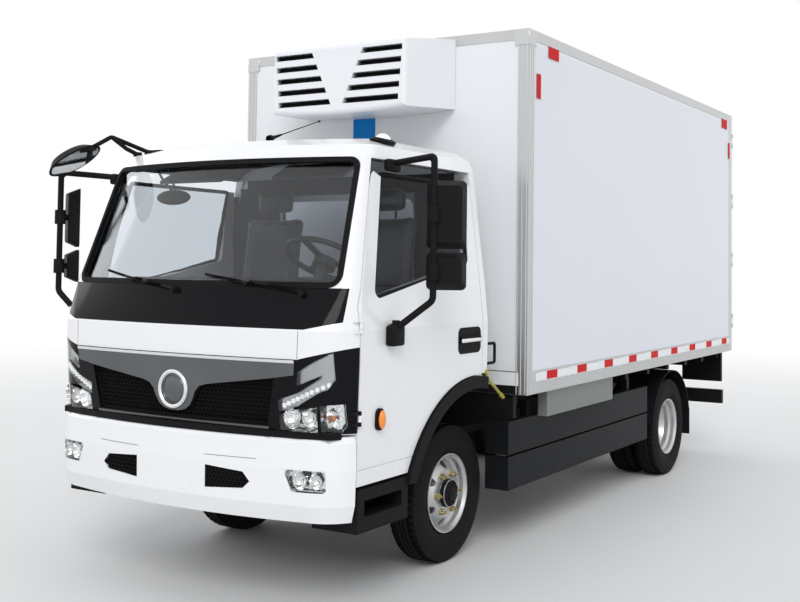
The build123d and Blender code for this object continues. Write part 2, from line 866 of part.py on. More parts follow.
with BuildPart() as wheel_arches:
    for side in (1, -1):
        flare_plane_x = min(side * flare_in_x, side * (cab_half_width + flare_proud))
        with BuildSketch(along(flare_plane_x)):
            with Locations((arch_centre_y, arch_centre_z)):
                Circle(flare_outer_radius)
                Circle(flare_inner_radius, mode=Mode.SUBTRACT)
        extrude(amount=cab_half_width + flare_proud - flare_in_x)
        with BuildSketch(along(min(side * liner_in_x, side * flare_in_x))):
            with Locations((arch_centre_y, arch_centre_z)):
                Circle(flare_inner_radius + liner_metal)
                Circle(flare_inner_radius, mode=Mode.SUBTRACT)
        extrude(amount=flare_in_x - liner_in_x)
        web_x = side * (liner_in_x + web_half)
        block(
            web_x - web_half, web_x + web_half, arch_centre_y - web_half, arch_centre_y + web_half,
            arch_centre_z + flare_inner_radius, cab_floor_z - cab_floor_thickness,
        )
    block(
        -cab_half_width - overrun, cab_half_width + overrun,
        arch_centre_y - arch_radius - overrun, arch_centre_y + arch_radius + overrun,
        arch_centre_z - arch_radius - overrun, flare_low_z, mode=Mode.SUBTRACT,
    )
    block(
        -cab_half_width - overrun, cab_half_width + overrun,
        cab_rear_y, arch_centre_y + arch_radius + overrun,
        flare_low_z, arch_centre_z + arch_radius + overrun, mode=Mode.SUBTRACT,
    )
    for side in (1, -1):
        step_x = (side * step_in_x, side * (cab_half_width - panel_gap))
        block(
            min(step_x), max(step_x), door_front_y, front_axle_y - step_rear_reach,
            step_low_z, step_top_z,
        )
        recess_x = (side * (cab_half_width - step_recess_depth), side * cab_half_width)
        block(
            min(recess_x), max(recess_x),
            door_front_y + step_recess_margin, front_axle_y - step_rear_reach - step_recess_margin,
            step_recess_low_z, step_top_z - step_recess_margin, mode=Mode.SUBTRACT,
        )
pieces["wheel_arches"] = wheel_arches
print("arches", len(wheel_arches.part.solids()))

# Dashboard with the steering column, and the seats
dash_half_width = 850
dash_rear_reach = 800
dash_low_z = 1180
dash_top_z = 1475
dash_lip_z = 1400
dash_radius = 30
wheel_side_x = 400
steering_reach = 660
steering_z = 1660
steering_tilt = 30
column_radius = 32
column_length = 330
steering_rim_radius = 212
steering_rim_section = 15
steering_hub_radius = 62
steering_hub_depth = 46
steering_spoke_width = 34
steering_spoke_depth = 16
steering_spoke_count = 3
steering_spoke_start = -90
steering_gap = 2
column_pin_radius = 12

with BuildPart() as dashboard:
    with BuildSketch(along(-dash_half_width)):
        with BuildLine():
            Polyline(
                (firewall_y + cab_wall, dash_low_z),
                (front_axle_y - dash_rear_reach - dash_radius, dash_low_z),
                (front_axle_y - dash_rear_reach, dash_lip_z),
                (front_axle_y - dash_rear_reach - 2 * dash_radius, dash_top_z),
                (firewall_y + cab_wall, dash_top_z),
                close=True,
            )
        make_face()
    extrude(amount=2 * dash_half_width)
    column_plane = Plane(
        origin=(wheel_side_x, front_axle_y - steering_reach, steering_z),
        x_dir=(1, 0, 0),
        z_dir=(0, sin(radians(steering_tilt)), cos(radians(steering_tilt))),
    )
    with BuildSketch(column_plane.offset(-steering_hub_depth - steering_gap)):
        Circle(column_radius)
    extrude(amount=-column_length)
    with BuildSketch(column_plane.offset(-steering_hub_depth - steering_gap)):
        Circle(column_pin_radius)
    extrude(amount=steering_hub_depth / 2 + steering_gap)
pieces["dashboard"] = dashboard

with BuildPart() as steering_wheel:
    with BuildSketch(Plane(origin=column_plane.origin, x_dir=column_plane.x_dir, z_dir=-column_plane.y_dir)):
        with Locations((steering_rim_radius, 0)):
            Circle(steering_rim_section)
    revolve(axis=Axis(column_plane.origin, column_plane.z_dir))
    with BuildSketch(column_plane.offset(-steering_hub_depth)):
        Circle(steering_hub_radius)
    extrude(amount=steering_hub_depth)
    with BuildSketch(column_plane.offset(-steering_spoke_depth)):
        with PolarLocations(steering_rim_radius / 2, steering_spoke_count, start_angle=steering_spoke_start):
            Rectangle(steering_rim_radius, steering_spoke_width)
    extrude(amount=steering_spoke_depth)
    with BuildSketch(column_plane.offset(-steering_hub_depth)):
        Circle(column_pin_radius + running_clearance)
    extrude(amount=steering_hub_depth / 2 + steering_gap, mode=Mode.SUBTRACT)
pieces["steering_wheel"] = steering_wheel

seat_width = 480
seat_front_reach = 540
seat_rear_reach = 110
seat_low_z = cab_floor_z
seat_base_top_z = 1290
seat_cushion_top_z = 1405
backrest_top_z = 1930
backrest_depth = 115
backrest_lean = 70
headrest_top_z = 2085
headrest_width = 260
headrest_depth = 80
seat_round = 28
seat_base_inset = 45
seat_rows = (("driver_seat", wheel_side_x), ("passenger_seat", -wheel_side_x))

for name, middle_x in seat_rows:
    with BuildPart() as seat:
        block(
            middle_x - seat_width / 2 + seat_base_inset, middle_x + seat_width / 2 - seat_base_inset,
            front_axle_y - seat_front_reach + seat_base_inset, front_axle_y - seat_rear_reach,
            seat_low_z, seat_base_top_z,
        )
        with BuildSketch(along(middle_x - seat_width / 2)):
            with BuildLine():
                Polyline(
                    (front_axle_y - seat_front_reach, seat_base_top_z),
                    (front_axle_y - seat_rear_reach, seat_base_top_z),
                    (front_axle_y - seat_rear_reach + backrest_lean, backrest_top_z),
                    (front_axle_y - seat_rear_reach + backrest_lean - backrest_depth, backrest_top_z),
                    (front_axle_y - seat_rear_reach - backrest_depth, seat_cushion_top_z),
                    (front_axle_y - seat_front_reach, seat_cushion_top_z),
                    close=True,
                )
            make_face()
            fillet(vertices(), seat_round)
        extrude(amount=seat_width)
        block(
            middle_x - headrest_width / 2, middle_x + headrest_width / 2,
            front_axle_y - seat_rear_reach + backrest_lean - headrest_depth,
            front_axle_y - seat_rear_reach + backrest_lean,
            backrest_top_z - seat_round, headrest_top_z,
        )
    pieces[name] = seat

# Mirrors: a tube frame on each door with a tall and a wide mirror, turned to the driver
mirror_tube_radius = 11
mirror_tube_x = 1140
mirror_reach_x = 1250
mirror_top_x = 858
mirror_bow_rise = 24
mirror_low_x = cab_half_width + small_gap
mirror_low_z = 1326
mirror_elbow_x = 1010
mirror_elbow_z = 1350
mirror_turn_z = 1470
mirror_turn = 34
mirror_width = 196
mirror_head_depth = 62
mirror_back_share = 0.72
mirror_heights = ((1718, 2052), (1518, 1702))
mirror_corner = 26
mirror_bend_radius = 45
mirror_pad_radius = 30
mirror_pad_depth = 30
mirror_clamp_radius = 17
# Columns: side, name, top mount reach, top mount height, tube reach, low mount reach, set back
mirror_rows = (
    (1, "left", 760, 2140, 800, 882, 95),
    (-1, "right", 880, 2112, 1090, 1062, 140),
)
mirror_back_half = mirror_back_share * mirror_width / 2
turn_cos = cos(radians(mirror_turn))
turn_sin = sin(radians(mirror_turn))
mirror_head_x = mirror_reach_x - mirror_back_half * turn_cos - mirror_head_depth * turn_sin

for side, name, top_reach, top_z, tube_reach, low_reach, set_back in mirror_rows:
    tube_y = front_axle_y - tube_reach
    with BuildPart() as mirror:
        with BuildLine() as tube_line:
            FilletPolyline(
                (side * (mirror_top_x + mirror_pad_depth / 2), front_axle_y - top_reach, top_z),
                (side * mirror_tube_x, tube_y, top_z + mirror_bow_rise),
                (side * mirror_tube_x, tube_y, mirror_turn_z),
                (side * mirror_elbow_x, front_axle_y - low_reach, mirror_elbow_z),
                (side * (mirror_low_x + mirror_pad_depth / 2), front_axle_y - low_reach, mirror_low_z),
                radius=mirror_bend_radius,
            )
        with BuildSketch(Plane(origin=tube_line.line @ 0, z_dir=tube_line.line % 0)):
            Circle(mirror_tube_radius)
        sweep(path=tube_line.line)
        with BuildSketch(along(min(side * mirror_low_x, side * (mirror_low_x + mirror_pad_depth)))):
            with Locations((front_axle_y - low_reach, mirror_low_z)):
                Circle(mirror_pad_radius)
        extrude(amount=mirror_pad_depth)
        top_pad_x = (side * (mirror_top_x - mirror_pad_depth), side * (mirror_top_x + mirror_pad_depth))
        with BuildSketch(along(min(top_pad_x))):
            with Locations((front_axle_y - top_reach, top_z)):
                Circle(mirror_pad_radius / 2)
        extrude(amount=2 * mirror_pad_depth)
        add(cab_forms[-small_gap].part, mode=Mode.SUBTRACT)
        for low_z, high_z in mirror_heights:
            glass_plane = Plane(
                origin=(side * mirror_head_x, tube_y + set_back, (low_z + high_z) / 2),
                x_dir=(side * turn_cos, turn_sin, 0),
                z_dir=(-side * turn_sin, turn_cos, 0),
            )
            back_plane = glass_plane.offset(-mirror_head_depth)
            with BuildSketch(glass_plane):
                RectangleRounded(mirror_width, high_z - low_z, mirror_corner)
            with BuildSketch(back_plane):
                RectangleRounded(
                    2 * mirror_back_half, high_z - low_z - mirror_width + 2 * mirror_back_half, mirror_corner,
                )
            loft()
            with BuildLine() as clamp_line:
                Line(
                    (side * mirror_tube_x, tube_y, (low_z + high_z) / 2),
                    glass_plane.offset(-mirror_head_depth / 2).origin,
                )
            with BuildSketch(Plane(origin=clamp_line.line @ 0, z_dir=clamp_line.line % 0)):
                Circle(mirror_clamp_radius)
            sweep(path=clamp_line.line)
    pieces["mirror_" + name] = mirror
    print("mirror", name, len(mirror.part.solids()))

# Oval mirror on an arm at the roof's right corner, for the view over the nose
arm_radius = 12
arm_pad_radius = 24
arm_foot_reach = 775
arm_top_reach = 985
strut_foot_reach = 860
strut_bend_reach = 915
oval_reach = 1155
arm_foot = (-785, front_axle_y - arm_foot_reach, 2264)
arm_top = (-862, front_axle_y - arm_top_reach, 2335)
strut_foot = (-785, front_axle_y - strut_foot_reach, 2244)
strut_bend = (-815, front_axle_y - strut_bend_reach, 2272)
arm_bend_radius = 24
oval_centre = (-955, front_axle_y - oval_reach, 2190)
oval_half_length = 165
oval_half_width = 85
oval_depth = 44
oval_long_share = (0.234, 0.857, 0.458)
oval_face_share = (0.752, 0.140, -0.645)
arm_pad_depth = 90

with BuildPart() as front_view_mirror:
    oval_plane = Plane(origin=oval_centre, x_dir=oval_long_share, z_dir=oval_face_share)
    with BuildSketch(oval_plane):
        Ellipse(oval_half_length, oval_half_width)
    with BuildSketch(oval_plane.offset(-oval_depth)):
        Ellipse(mirror_back_share * oval_half_length, mirror_back_share * oval_half_width)
    loft()
    oval_middle = oval_plane.offset(-oval_depth / 2).origin
    for route in ((arm_foot, arm_top, oval_middle), (strut_foot, strut_bend, arm_top)):
        with BuildLine() as arm_line:
            FilletPolyline(*route, radius=arm_bend_radius)
        with BuildSketch(Plane(origin=arm_line.line @ 0, z_dir=arm_line.line % 0)):
            Circle(arm_radius)
        sweep(path=arm_line.line)
    for foot in (arm_foot, strut_foot):
        upright(foot[0], foot[1], foot[2] - arm_pad_depth, foot[2] + arm_radius, arm_pad_radius)
    add(cab_forms[-small_gap].part, mode=Mode.SUBTRACT)
pieces["front_view_mirror"] = front_view_mirror
print("front view mirror", len(front_view_mirror.part.solids()))

# Marker lamps and the aerial base on the roof
marker_x = 755
marker_reach = 690
marker_radius = 42
aerial_x = 120
aerial_reach = 790
aerial_radius = 20
aerial_height = 26
roof_seat_depth = 120
fitting_reach = 180

with BuildPart() as roof_fittings:
    for place_x, reach, radius in (
        (marker_x, marker_reach, marker_radius),
        (-marker_x, marker_reach, marker_radius),
        (aerial_x, aerial_reach, aerial_radius),
    ):
        with BuildSketch(Plane.XY.offset(cab_roof_z - roof_seat_depth)):
            with Locations((place_x, front_axle_y - reach)):
                Circle(radius)
        extrude(amount=fitting_reach)
    add(cab_forms[0].part, mode=Mode.SUBTRACT)
    block(
        -cab_half_width, cab_half_width, front_axle_y - cab_front_reach, cab_rear_y,
        cab_roof_z + aerial_height, cab_roof_z + fitting_reach, mode=Mode.SUBTRACT,
    )
pieces["roof_fittings"] = roof_fittings

# Chassis frame: two channel rails with cross members and the cab's pivot brackets
rail_front_y = front_axle_y - frame_front_reach
rail_rear_y = box_rear_y - frame_rear_setback
frame_bottom_z = frame_top_z - rail_height
member_reaches = (-1145, 1060, 1800, 2480, 3720, 4480)
rear_mount_reach = 15
rear_mount_width = 40
rear_mount_half = 300

with BuildPart() as chassis_frame:
    for side in (1, -1):
        inner_x = side * (frame_half_width - rail_flange)
        web_x = side * frame_half_width
        block(
            min(inner_x, web_x), max(inner_x, web_x), rail_front_y, rail_rear_y,
            frame_bottom_z, frame_top_z,
        )
        pocket_x = side * (frame_half_width - rail_metal)
        block(
            min(inner_x, pocket_x), max(inner_x, pocket_x), rail_front_y, rail_rear_y,
            frame_bottom_z + rail_metal, frame_top_z - rail_metal, mode=Mode.SUBTRACT,
        )
    for reach in member_reaches:
        middle_y = front_axle_y + reach
        block(
            -frame_half_width + rail_metal, frame_half_width - rail_metal,
            middle_y - member_width / 2, middle_y + member_width / 2,
            frame_top_z - rail_metal - member_height, frame_top_z - rail_metal,
        )
    for side in (1, -1):
        bracket_x = side * pivot_bracket_x
        block(
            bracket_x - bracket_thickness / 2, bracket_x + bracket_thickness / 2,
            pivot_y - yoke_half_depth, pivot_y + yoke_half_depth, frame_top_z - rail_metal, pivot_z,
        )
        with BuildSketch(along(bracket_x - bracket_thickness / 2)):
            with Locations((pivot_y, pivot_z)):
                Circle(2 * pivot_pin_radius)
        extrude(amount=bracket_thickness)
        with BuildSketch(along(bracket_x - bracket_thickness / 2)):
            with Locations((pivot_y, pivot_z)):
                Circle(pivot_pin_radius + running_clearance)
        extrude(amount=bracket_thickness, mode=Mode.SUBTRACT)
    # Arch behind the engine that the back of the cab rests on
    mount_y = front_axle_y + rear_mount_reach
    mount_top_z = cab_floor_z - cab_floor_thickness - small_gap
    for side in (1, -1):
        post_x = side * rear_mount_half
        block(
            post_x - rear_mount_width / 2, post_x + rear_mount_width / 2,
            mount_y - rear_mount_width / 2, mount_y + rear_mount_width / 2,
            frame_top_z - rail_metal, mount_top_z,
        )
    block(
        -rear_mount_half, rear_mount_half, mount_y - rear_mount_width / 2, mount_y + rear_mount_width / 2,
        mount_top_z - rear_mount_width, mount_top_z,
    )
pieces["chassis_frame"] = chassis_frame
print("frame", len(chassis_frame.part.solids()))

# Sub-frame of the cargo body: long sills, cross bearers and the front outriggers
sill_width = 60
bearer_height = 64
bearer_width = 50
bearer_count = 10
bearer_end_setback = 98
bearer_reach = box_half - bearer_end_setback
sill_top_z = box_bottom_z - bearer_height
outrigger_z = 690
outrigger_width = 40

with BuildPart() as box_subframe:
    for side in (1, -1):
        sill_x = side * (frame_half_width - sill_width / 2)
        block(
            sill_x - sill_width / 2, sill_x + sill_width / 2, box_front_y, box_rear_y - frame_rear_setback,
            frame_top_z, sill_top_z,
        )
    bearer_pitch = (box_length - frame_rear_setback - 2 * bearer_width) / (bearer_count - 1)
    for index in range(bearer_count):
        bearer_y = box_front_y + bearer_width + index * bearer_pitch
        block(
            -bearer_reach, bearer_reach, bearer_y - bearer_width / 2, bearer_y + bearer_width / 2,
            sill_top_z, box_bottom_z,
        )
    for side in (1, -1):
        outrigger_x = (side * frame_half_width, side * bearer_reach)
        with BuildSketch(across(box_front_y + bearer_width / 2 + outrigger_width)):
            with BuildLine():
                Polyline(
                    (outrigger_x[0], outrigger_z - bearer_height),
                    (outrigger_x[1], outrigger_z + bearer_height),
                    (outrigger_x[1], sill_top_z),
                    (outrigger_x[0], sill_top_z),
                    close=True,
                )
            make_face()
        extrude(amount=outrigger_width)
pieces["box_subframe"] = box_subframe
print("subframe", len(box_subframe.part.solids()))

# Front axle: a dropped beam between two upright king pin eyes
axle_z = tyre_radius
king_pin_x = 600
king_pin_radius = 14
eye_radius = 32
eye_height = 84
beam_width = 62
beam_height = 66
beam_drop = 52
beam_pad_half = 300

with BuildPart() as front_axle:
    with BuildSketch(across(front_axle_y + beam_width / 2)):
        with BuildLine():
            Polyline(
                (-king_pin_x, axle_z + beam_height / 2),
                (-beam_pad_half, axle_z + beam_height / 2),
                (-beam_pad_half + 2 * beam_drop, axle_z + beam_height / 2 - beam_drop),
                (beam_pad_half - 2 * beam_drop, axle_z + beam_height / 2 - beam_drop),
                (beam_pad_half, axle_z + beam_height / 2),
                (king_pin_x, axle_z + beam_height / 2),
                (king_pin_x, axle_z - beam_height / 2),
                (beam_pad_half, axle_z - beam_height / 2),
                (beam_pad_half - 2 * beam_drop, axle_z - beam_height / 2 - beam_drop),
                (-beam_pad_half + 2 * beam_drop, axle_z - beam_height / 2 - beam_drop),
                (-beam_pad_half, axle_z - beam_height / 2),
                (-king_pin_x, axle_z - beam_height / 2),
                close=True,
            )
        make_face()
    extrude(amount=beam_width)
    for side in (1, -1):
        with BuildSketch(Plane.XY.offset(axle_z - eye_height / 2)):
            with Locations((side * king_pin_x, front_axle_y)):
                Circle(eye_radius)
        extrude(amount=eye_height)
        with BuildSketch(Plane.XY.offset(axle_z - eye_height / 2)):
            with Locations((side * king_pin_x, front_axle_y)):
                Circle(king_pin_radius + running_clearance)
        extrude(amount=eye_height, mode=Mode.SUBTRACT)
pieces["front_axle"] = front_axle

# Steering knuckles: a fork round the axle's eye, the king pin and the wheel spindle
fork_thickness = 26
fork_gap = 6
fork_web = 24
fork_half = 34
spindle_radius = 24
spindle_length = 96
backing_radius = 150
backing_thickness = 8
steer_arm_length = 150

for side, name in ((1, "left"), (-1, "right")):
    with BuildPart() as knuckle:
        fork_x = (side * king_pin_x, side * (king_pin_x + eye_radius + fork_gap + fork_web))
        web_x = (side * (king_pin_x + eye_radius + fork_gap), fork_x[1])
        fork_top_z = axle_z + eye_height / 2 + fork_gap
        fork_low_z = axle_z - eye_height / 2 - fork_gap
        block(
            min(web_x), max(web_x), front_axle_y - fork_half, front_axle_y + fork_half,
            fork_low_z - fork_thickness, fork_top_z + fork_thickness,
        )
        for lug_z in (fork_top_z, fork_low_z - fork_thickness):
            block(
                min(fork_x), max(fork_x), front_axle_y - fork_half, front_axle_y + fork_half,
                lug_z, lug_z + fork_thickness,
            )
            with BuildSketch(Plane.XY.offset(lug_z)):
                with Locations((side * king_pin_x, front_axle_y)):
                    Circle(fork_half)
            extrude(amount=fork_thickness)
        with BuildSketch(Plane.XY.offset(fork_low_z - fork_thickness)):
            with Locations((side * king_pin_x, front_axle_y)):
                Circle(king_pin_radius)
        extrude(amount=fork_top_z - fork_low_z + 2 * fork_thickness)
        backing_x = web_x[1]
        with BuildSketch(along(min(backing_x, backing_x + side * backing_thickness))):
            with Locations((front_axle_y, axle_z)):
                Circle(backing_radius)
        extrude(amount=backing_thickness)
        spindle_x = (backing_x, backing_x + side * spindle_length)
        with BuildSketch(along(min(spindle_x))):
            with Locations((front_axle_y, axle_z)):
                Circle(spindle_radius)
        extrude(amount=spindle_length)
        block(
            min(web_x), max(web_x), front_axle_y + fork_half, front_axle_y + steer_arm_length,
            fork_low_z - fork_thickness, fork_low_z,
        )
    pieces["knuckle_" + name] = knuckle

# Rear axle: tubes with a round housing and a nose for the propeller shaft
axle_tube_radius = 52
axle_tube_half = 640
housing_radius = 165
housing_half = 120
nose_radius = 70
nose_reach = 300
rear_spindle_radius = 40
rear_spindle_reach = 150

with BuildPart() as rear_axle:
    with BuildSketch(along(-axle_tube_half)):
        with Locations((rear_axle_y, axle_z)):
            Circle(axle_tube_radius)
    extrude(amount=2 * axle_tube_half)
    with BuildSketch(Plane.XY.offset(axle_z)):
        with BuildLine():
            Polyline(
                (-2 * housing_half, rear_axle_y),
                (-2 * housing_half, rear_axle_y + axle_tube_radius),
                (-housing_half / 2, rear_axle_y + housing_radius),
                (housing_half / 2, rear_axle_y + housing_radius),
                (2 * housing_half, rear_axle_y + axle_tube_radius),
                (2 * housing_half, rear_axle_y),
                close=True,
            )
        make_face()
    revolve(axis=Axis((0, rear_axle_y, axle_z), (1, 0, 0)))
    with BuildSketch(across(rear_axle_y)):
        with Locations((0, axle_z)):
            Circle(housing_radius - overrun)
    with BuildSketch(across(rear_axle_y - nose_reach)):
        with Locations((0, axle_z)):
            Circle(nose_radius)
    loft()
    for side in (1, -1):
        spindle_x = (side * axle_tube_half, side * (axle_tube_half + rear_spindle_reach))
        with BuildSketch(along(min(spindle_x))):
            with Locations((rear_axle_y, axle_z)):
                Circle(rear_spindle_radius)
        extrude(amount=rear_spindle_reach)
pieces["rear_axle"] = rear_axle

# Leaf springs: rows give the station, half length, leaf count, leaf thickness and seat
spring_width = 60
spring_x = 352
spring_radius = 3400
leaf_step_share = 0.14
front_spring_half = 610
rear_spring_half = 640
front_leaf_count = 4
rear_leaf_count = 5
leaf_thickness = 10
hanger_width = 60
hanger_depth = 70

with BuildPart() as leaf_springs:
    for station_y, half_length, leaf_count, seat_z in (
        (front_axle_y, front_spring_half, front_leaf_count, axle_z + beam_height / 2),
        (rear_axle_y, rear_spring_half, rear_leaf_count, axle_z + axle_tube_radius),
    ):
        pack_top_z = seat_z + leaf_count * leaf_thickness
        for side in (1, -1):
            for leaf in range(leaf_count):
                leaf_half = half_length * (1 - leaf_step_share * leaf)
                top_radius = spring_radius + leaf * leaf_thickness
                with BuildSketch(along(side * spring_x - spring_width / 2)):
                    with Locations((station_y, pack_top_z + spring_radius)):
                        Circle(top_radius + leaf_thickness)
                        Circle(top_radius, mode=Mode.SUBTRACT)
                    with Locations((station_y, pack_top_z)):
                        Rectangle(2 * leaf_half, half_length, mode=Mode.INTERSECT)
                extrude(amount=spring_width)
            rise = half_length ** 2 / (2 * spring_radius)
            for end in (-1, 1):
                hanger_y = station_y + end * (half_length - hanger_depth / 2)
                block(
                    side * spring_x - hanger_width / 2, side * spring_x + hanger_width / 2,
                    hanger_y - hanger_depth / 2, hanger_y + hanger_depth / 2,
                    pack_top_z + rise - 2 * leaf_thickness, frame_bottom_z,
                )
pieces["leaf_springs"] = leaf_springs
print("springs", len(leaf_springs.part.solids()))

# Engine and gearbox as plain blocks, with the propeller shaft to the rear axle
engine_half_width = 250
engine_front_reach = 640
engine_rear_reach = 220
engine_low_z = 470
engine_top_z = 985
gearbox_half_width = 130
gearbox_rear_reach = 760
gearbox_low_z = 500
gearbox_top_z = 800
shaft_radius = 36
shaft_yoke_radius = 50
shaft_yoke_length = 80
shaft_z = 610
engine_foot_half = frame_half_width - rail_metal
engine_foot_height = 40

with BuildPart() as powertrain:
    block(
        -engine_half_width, engine_half_width, front_axle_y - engine_front_reach,
        front_axle_y - rear_mount_width, engine_low_z + rail_metal, engine_top_z,
    )
    block(
        -gearbox_half_width, gearbox_half_width, front_axle_y - rear_mount_width,
        front_axle_y + engine_rear_reach + gearbox_rear_reach, gearbox_low_z, gearbox_top_z,
    )
    block(
        -engine_foot_half, engine_foot_half, front_axle_y - engine_front_reach / 2,
        front_axle_y - engine_front_reach / 2 + member_width,
        frame_bottom_z + rail_metal, frame_bottom_z + rail_metal + engine_foot_height,
    )
    with BuildLine() as shaft_line:
        Line(
            (0, front_axle_y + engine_rear_reach + gearbox_rear_reach, shaft_z),
            (0, rear_axle_y - nose_reach - shaft_yoke_length / 2, axle_z),
        )
    with BuildSketch(Plane(origin=shaft_line.line @ 0, z_dir=shaft_line.line % 0)):
        Circle(shaft_radius)
    sweep(path=shaft_line.line)
    with BuildSketch(across(rear_axle_y - nose_reach)):
        with Locations((0, axle_z)):
            Circle(shaft_yoke_radius)
    extrude(amount=shaft_yoke_length)
pieces["powertrain"] = powertrain

# Cargo body: floor, front wall, two sides and roof, with a steel door frame behind
skin_half = box_half - trim_metal
wall_low_z = box_bottom_z
side_top_z = box_top_z - roof_thickness
wall_rear_y = box_rear_y - rear_frame_depth
wall_front_y = box_front_y + trim_metal

with BuildPart() as box_floor:
    block(
        -skin_half + wall_thickness, skin_half - wall_thickness,
        wall_front_y + wall_thickness, wall_rear_y, box_bottom_z, box_bottom_z + floor_thickness,
    )
pieces["box_floor"] = box_floor

with BuildPart() as box_front_wall:
    block(-skin_half, skin_half, wall_front_y, wall_front_y + wall_thickness, wall_low_z, side_top_z)
pieces["box_front_wall"] = box_front_wall

for side, name in ((1, "left"), (-1, "right")):
    with BuildPart() as box_side:
        wall_x = (side * (skin_half - wall_thickness), side * skin_half)
        block(
            min(wall_x), max(wall_x), wall_front_y + wall_thickness, wall_rear_y,
            wall_low_z, side_top_z,
        )
    pieces[f"box_{name}_wall"] = box_side

with BuildPart() as box_roof:
    block(-skin_half, skin_half, wall_front_y, wall_rear_y, side_top_z, box_top_z - trim_metal)
pieces["box_roof"] = box_roof

# Pale metal trims along the edges of the box
with BuildPart() as box_trim:
    # Bottom and top rails on both sides, and across the front
    block(-box_half, box_half, box_front_y, wall_rear_y, box_bottom_z, box_bottom_z + bottom_rail_height)
    block(-box_half, box_half, box_front_y, wall_rear_y, box_top_z - top_rail_height, box_top_z)
    for side in (1, -1):
        post_x = (side * (box_half - corner_trim_width), side * box_half)
        block(
            min(post_x), max(post_x), box_front_y, box_front_y + corner_trim_width,
            box_bottom_z, box_top_z,
        )
    # The walls stand inside the trims
    block(
        -skin_half, skin_half, wall_front_y, box_rear_y + overrun,
        box_bottom_z - overrun, box_top_z - trim_metal, mode=Mode.SUBTRACT,
    )
    # The roof trim is open over the middle of the roof
    block(
        -box_half + top_rail_height, box_half - top_rail_height,
        box_front_y + top_rail_height, box_rear_y + overrun,
        box_top_z - 2 * trim_metal, box_top_z + overrun, mode=Mode.SUBTRACT,
    )
pieces["box_trim"] = box_trim
print("trim", len(box_trim.part.solids()))

rear_frame_y = box_rear_y - rear_frame_depth
door_clear_half = box_half - rear_post_width
door_clear_low_z = box_bottom_z + rear_sill_height
door_clear_top_z = box_top_z - rear_header_height

# Hinges of the cargo doors stand just behind the posts
hinge_pin_inset = 8
hinge_pin_x = box_half - hinge_pin_inset
hinge_pin_y = box_rear_y + hinge_pin_reach
hinge_pin_radius = 7
hinge_lug_height = 36
hinge_strap_height = 44
hinge_strap_length = 210
hinge_strap_thickness = 7
hinge_gap = 5
hinge_height_shares = (0.07, 0.36, 0.64, 0.93)
hinge_heights = [
    door_clear_low_z + share * (door_clear_top_z - door_clear_low_z) for share in hinge_height_shares
]

with BuildPart() as rear_door_frame:
    block(-box_half, box_half, rear_frame_y, box_rear_y, box_bottom_z, box_top_z)
    block(
        -door_clear_half, door_clear_half, rear_frame_y - overrun, box_rear_y + overrun,
        door_clear_low_z, door_clear_top_z, mode=Mode.SUBTRACT,
    )
    for side in (1, -1):
        for height in hinge_heights:
            for lift in (-1, 1):
                lug_z = height + lift * (hinge_strap_height / 2 + hinge_gap + hinge_lug_height / 2)
                block(
                    side * hinge_pin_x - hinge_barrel_radius, side * hinge_pin_x + hinge_barrel_radius,
                    box_rear_y, hinge_pin_y, lug_z - hinge_lug_height / 2, lug_z + hinge_lug_height / 2,
                )
                with BuildSketch(Plane.XY.offset(lug_z - hinge_lug_height / 2)):
                    with Locations((side * hinge_pin_x, hinge_pin_y)):
                        Circle(hinge_barrel_radius)
                extrude(amount=hinge_lug_height)
            pin_half = hinge_strap_height / 2 + hinge_gap + hinge_lug_height
            with BuildSketch(Plane.XY.offset(height - pin_half)):
                with Locations((side * hinge_pin_x, hinge_pin_y)):
                    Circle(hinge_pin_radius)
            extrude(amount=2 * pin_half)
pieces["rear_door_frame"] = rear_door_frame
print("rear frame", len(rear_door_frame.part.solids()))

# Cargo doors: insulated leaves with hinge straps and two lock rods each
cargo_door_thickness = 76
cargo_middle_gap = 5
lock_rod_radius = 9
lock_rod_standoff = 18
lock_rod_shares = (0.26, 0.74)
lock_keeper_width = 46
lock_keeper_height = 60
lock_keeper_shares = (0.03, 0.34, 0.66, 0.97)
lock_handle_width = 26
lock_handle_length = 300
lock_handle_share = 0.30

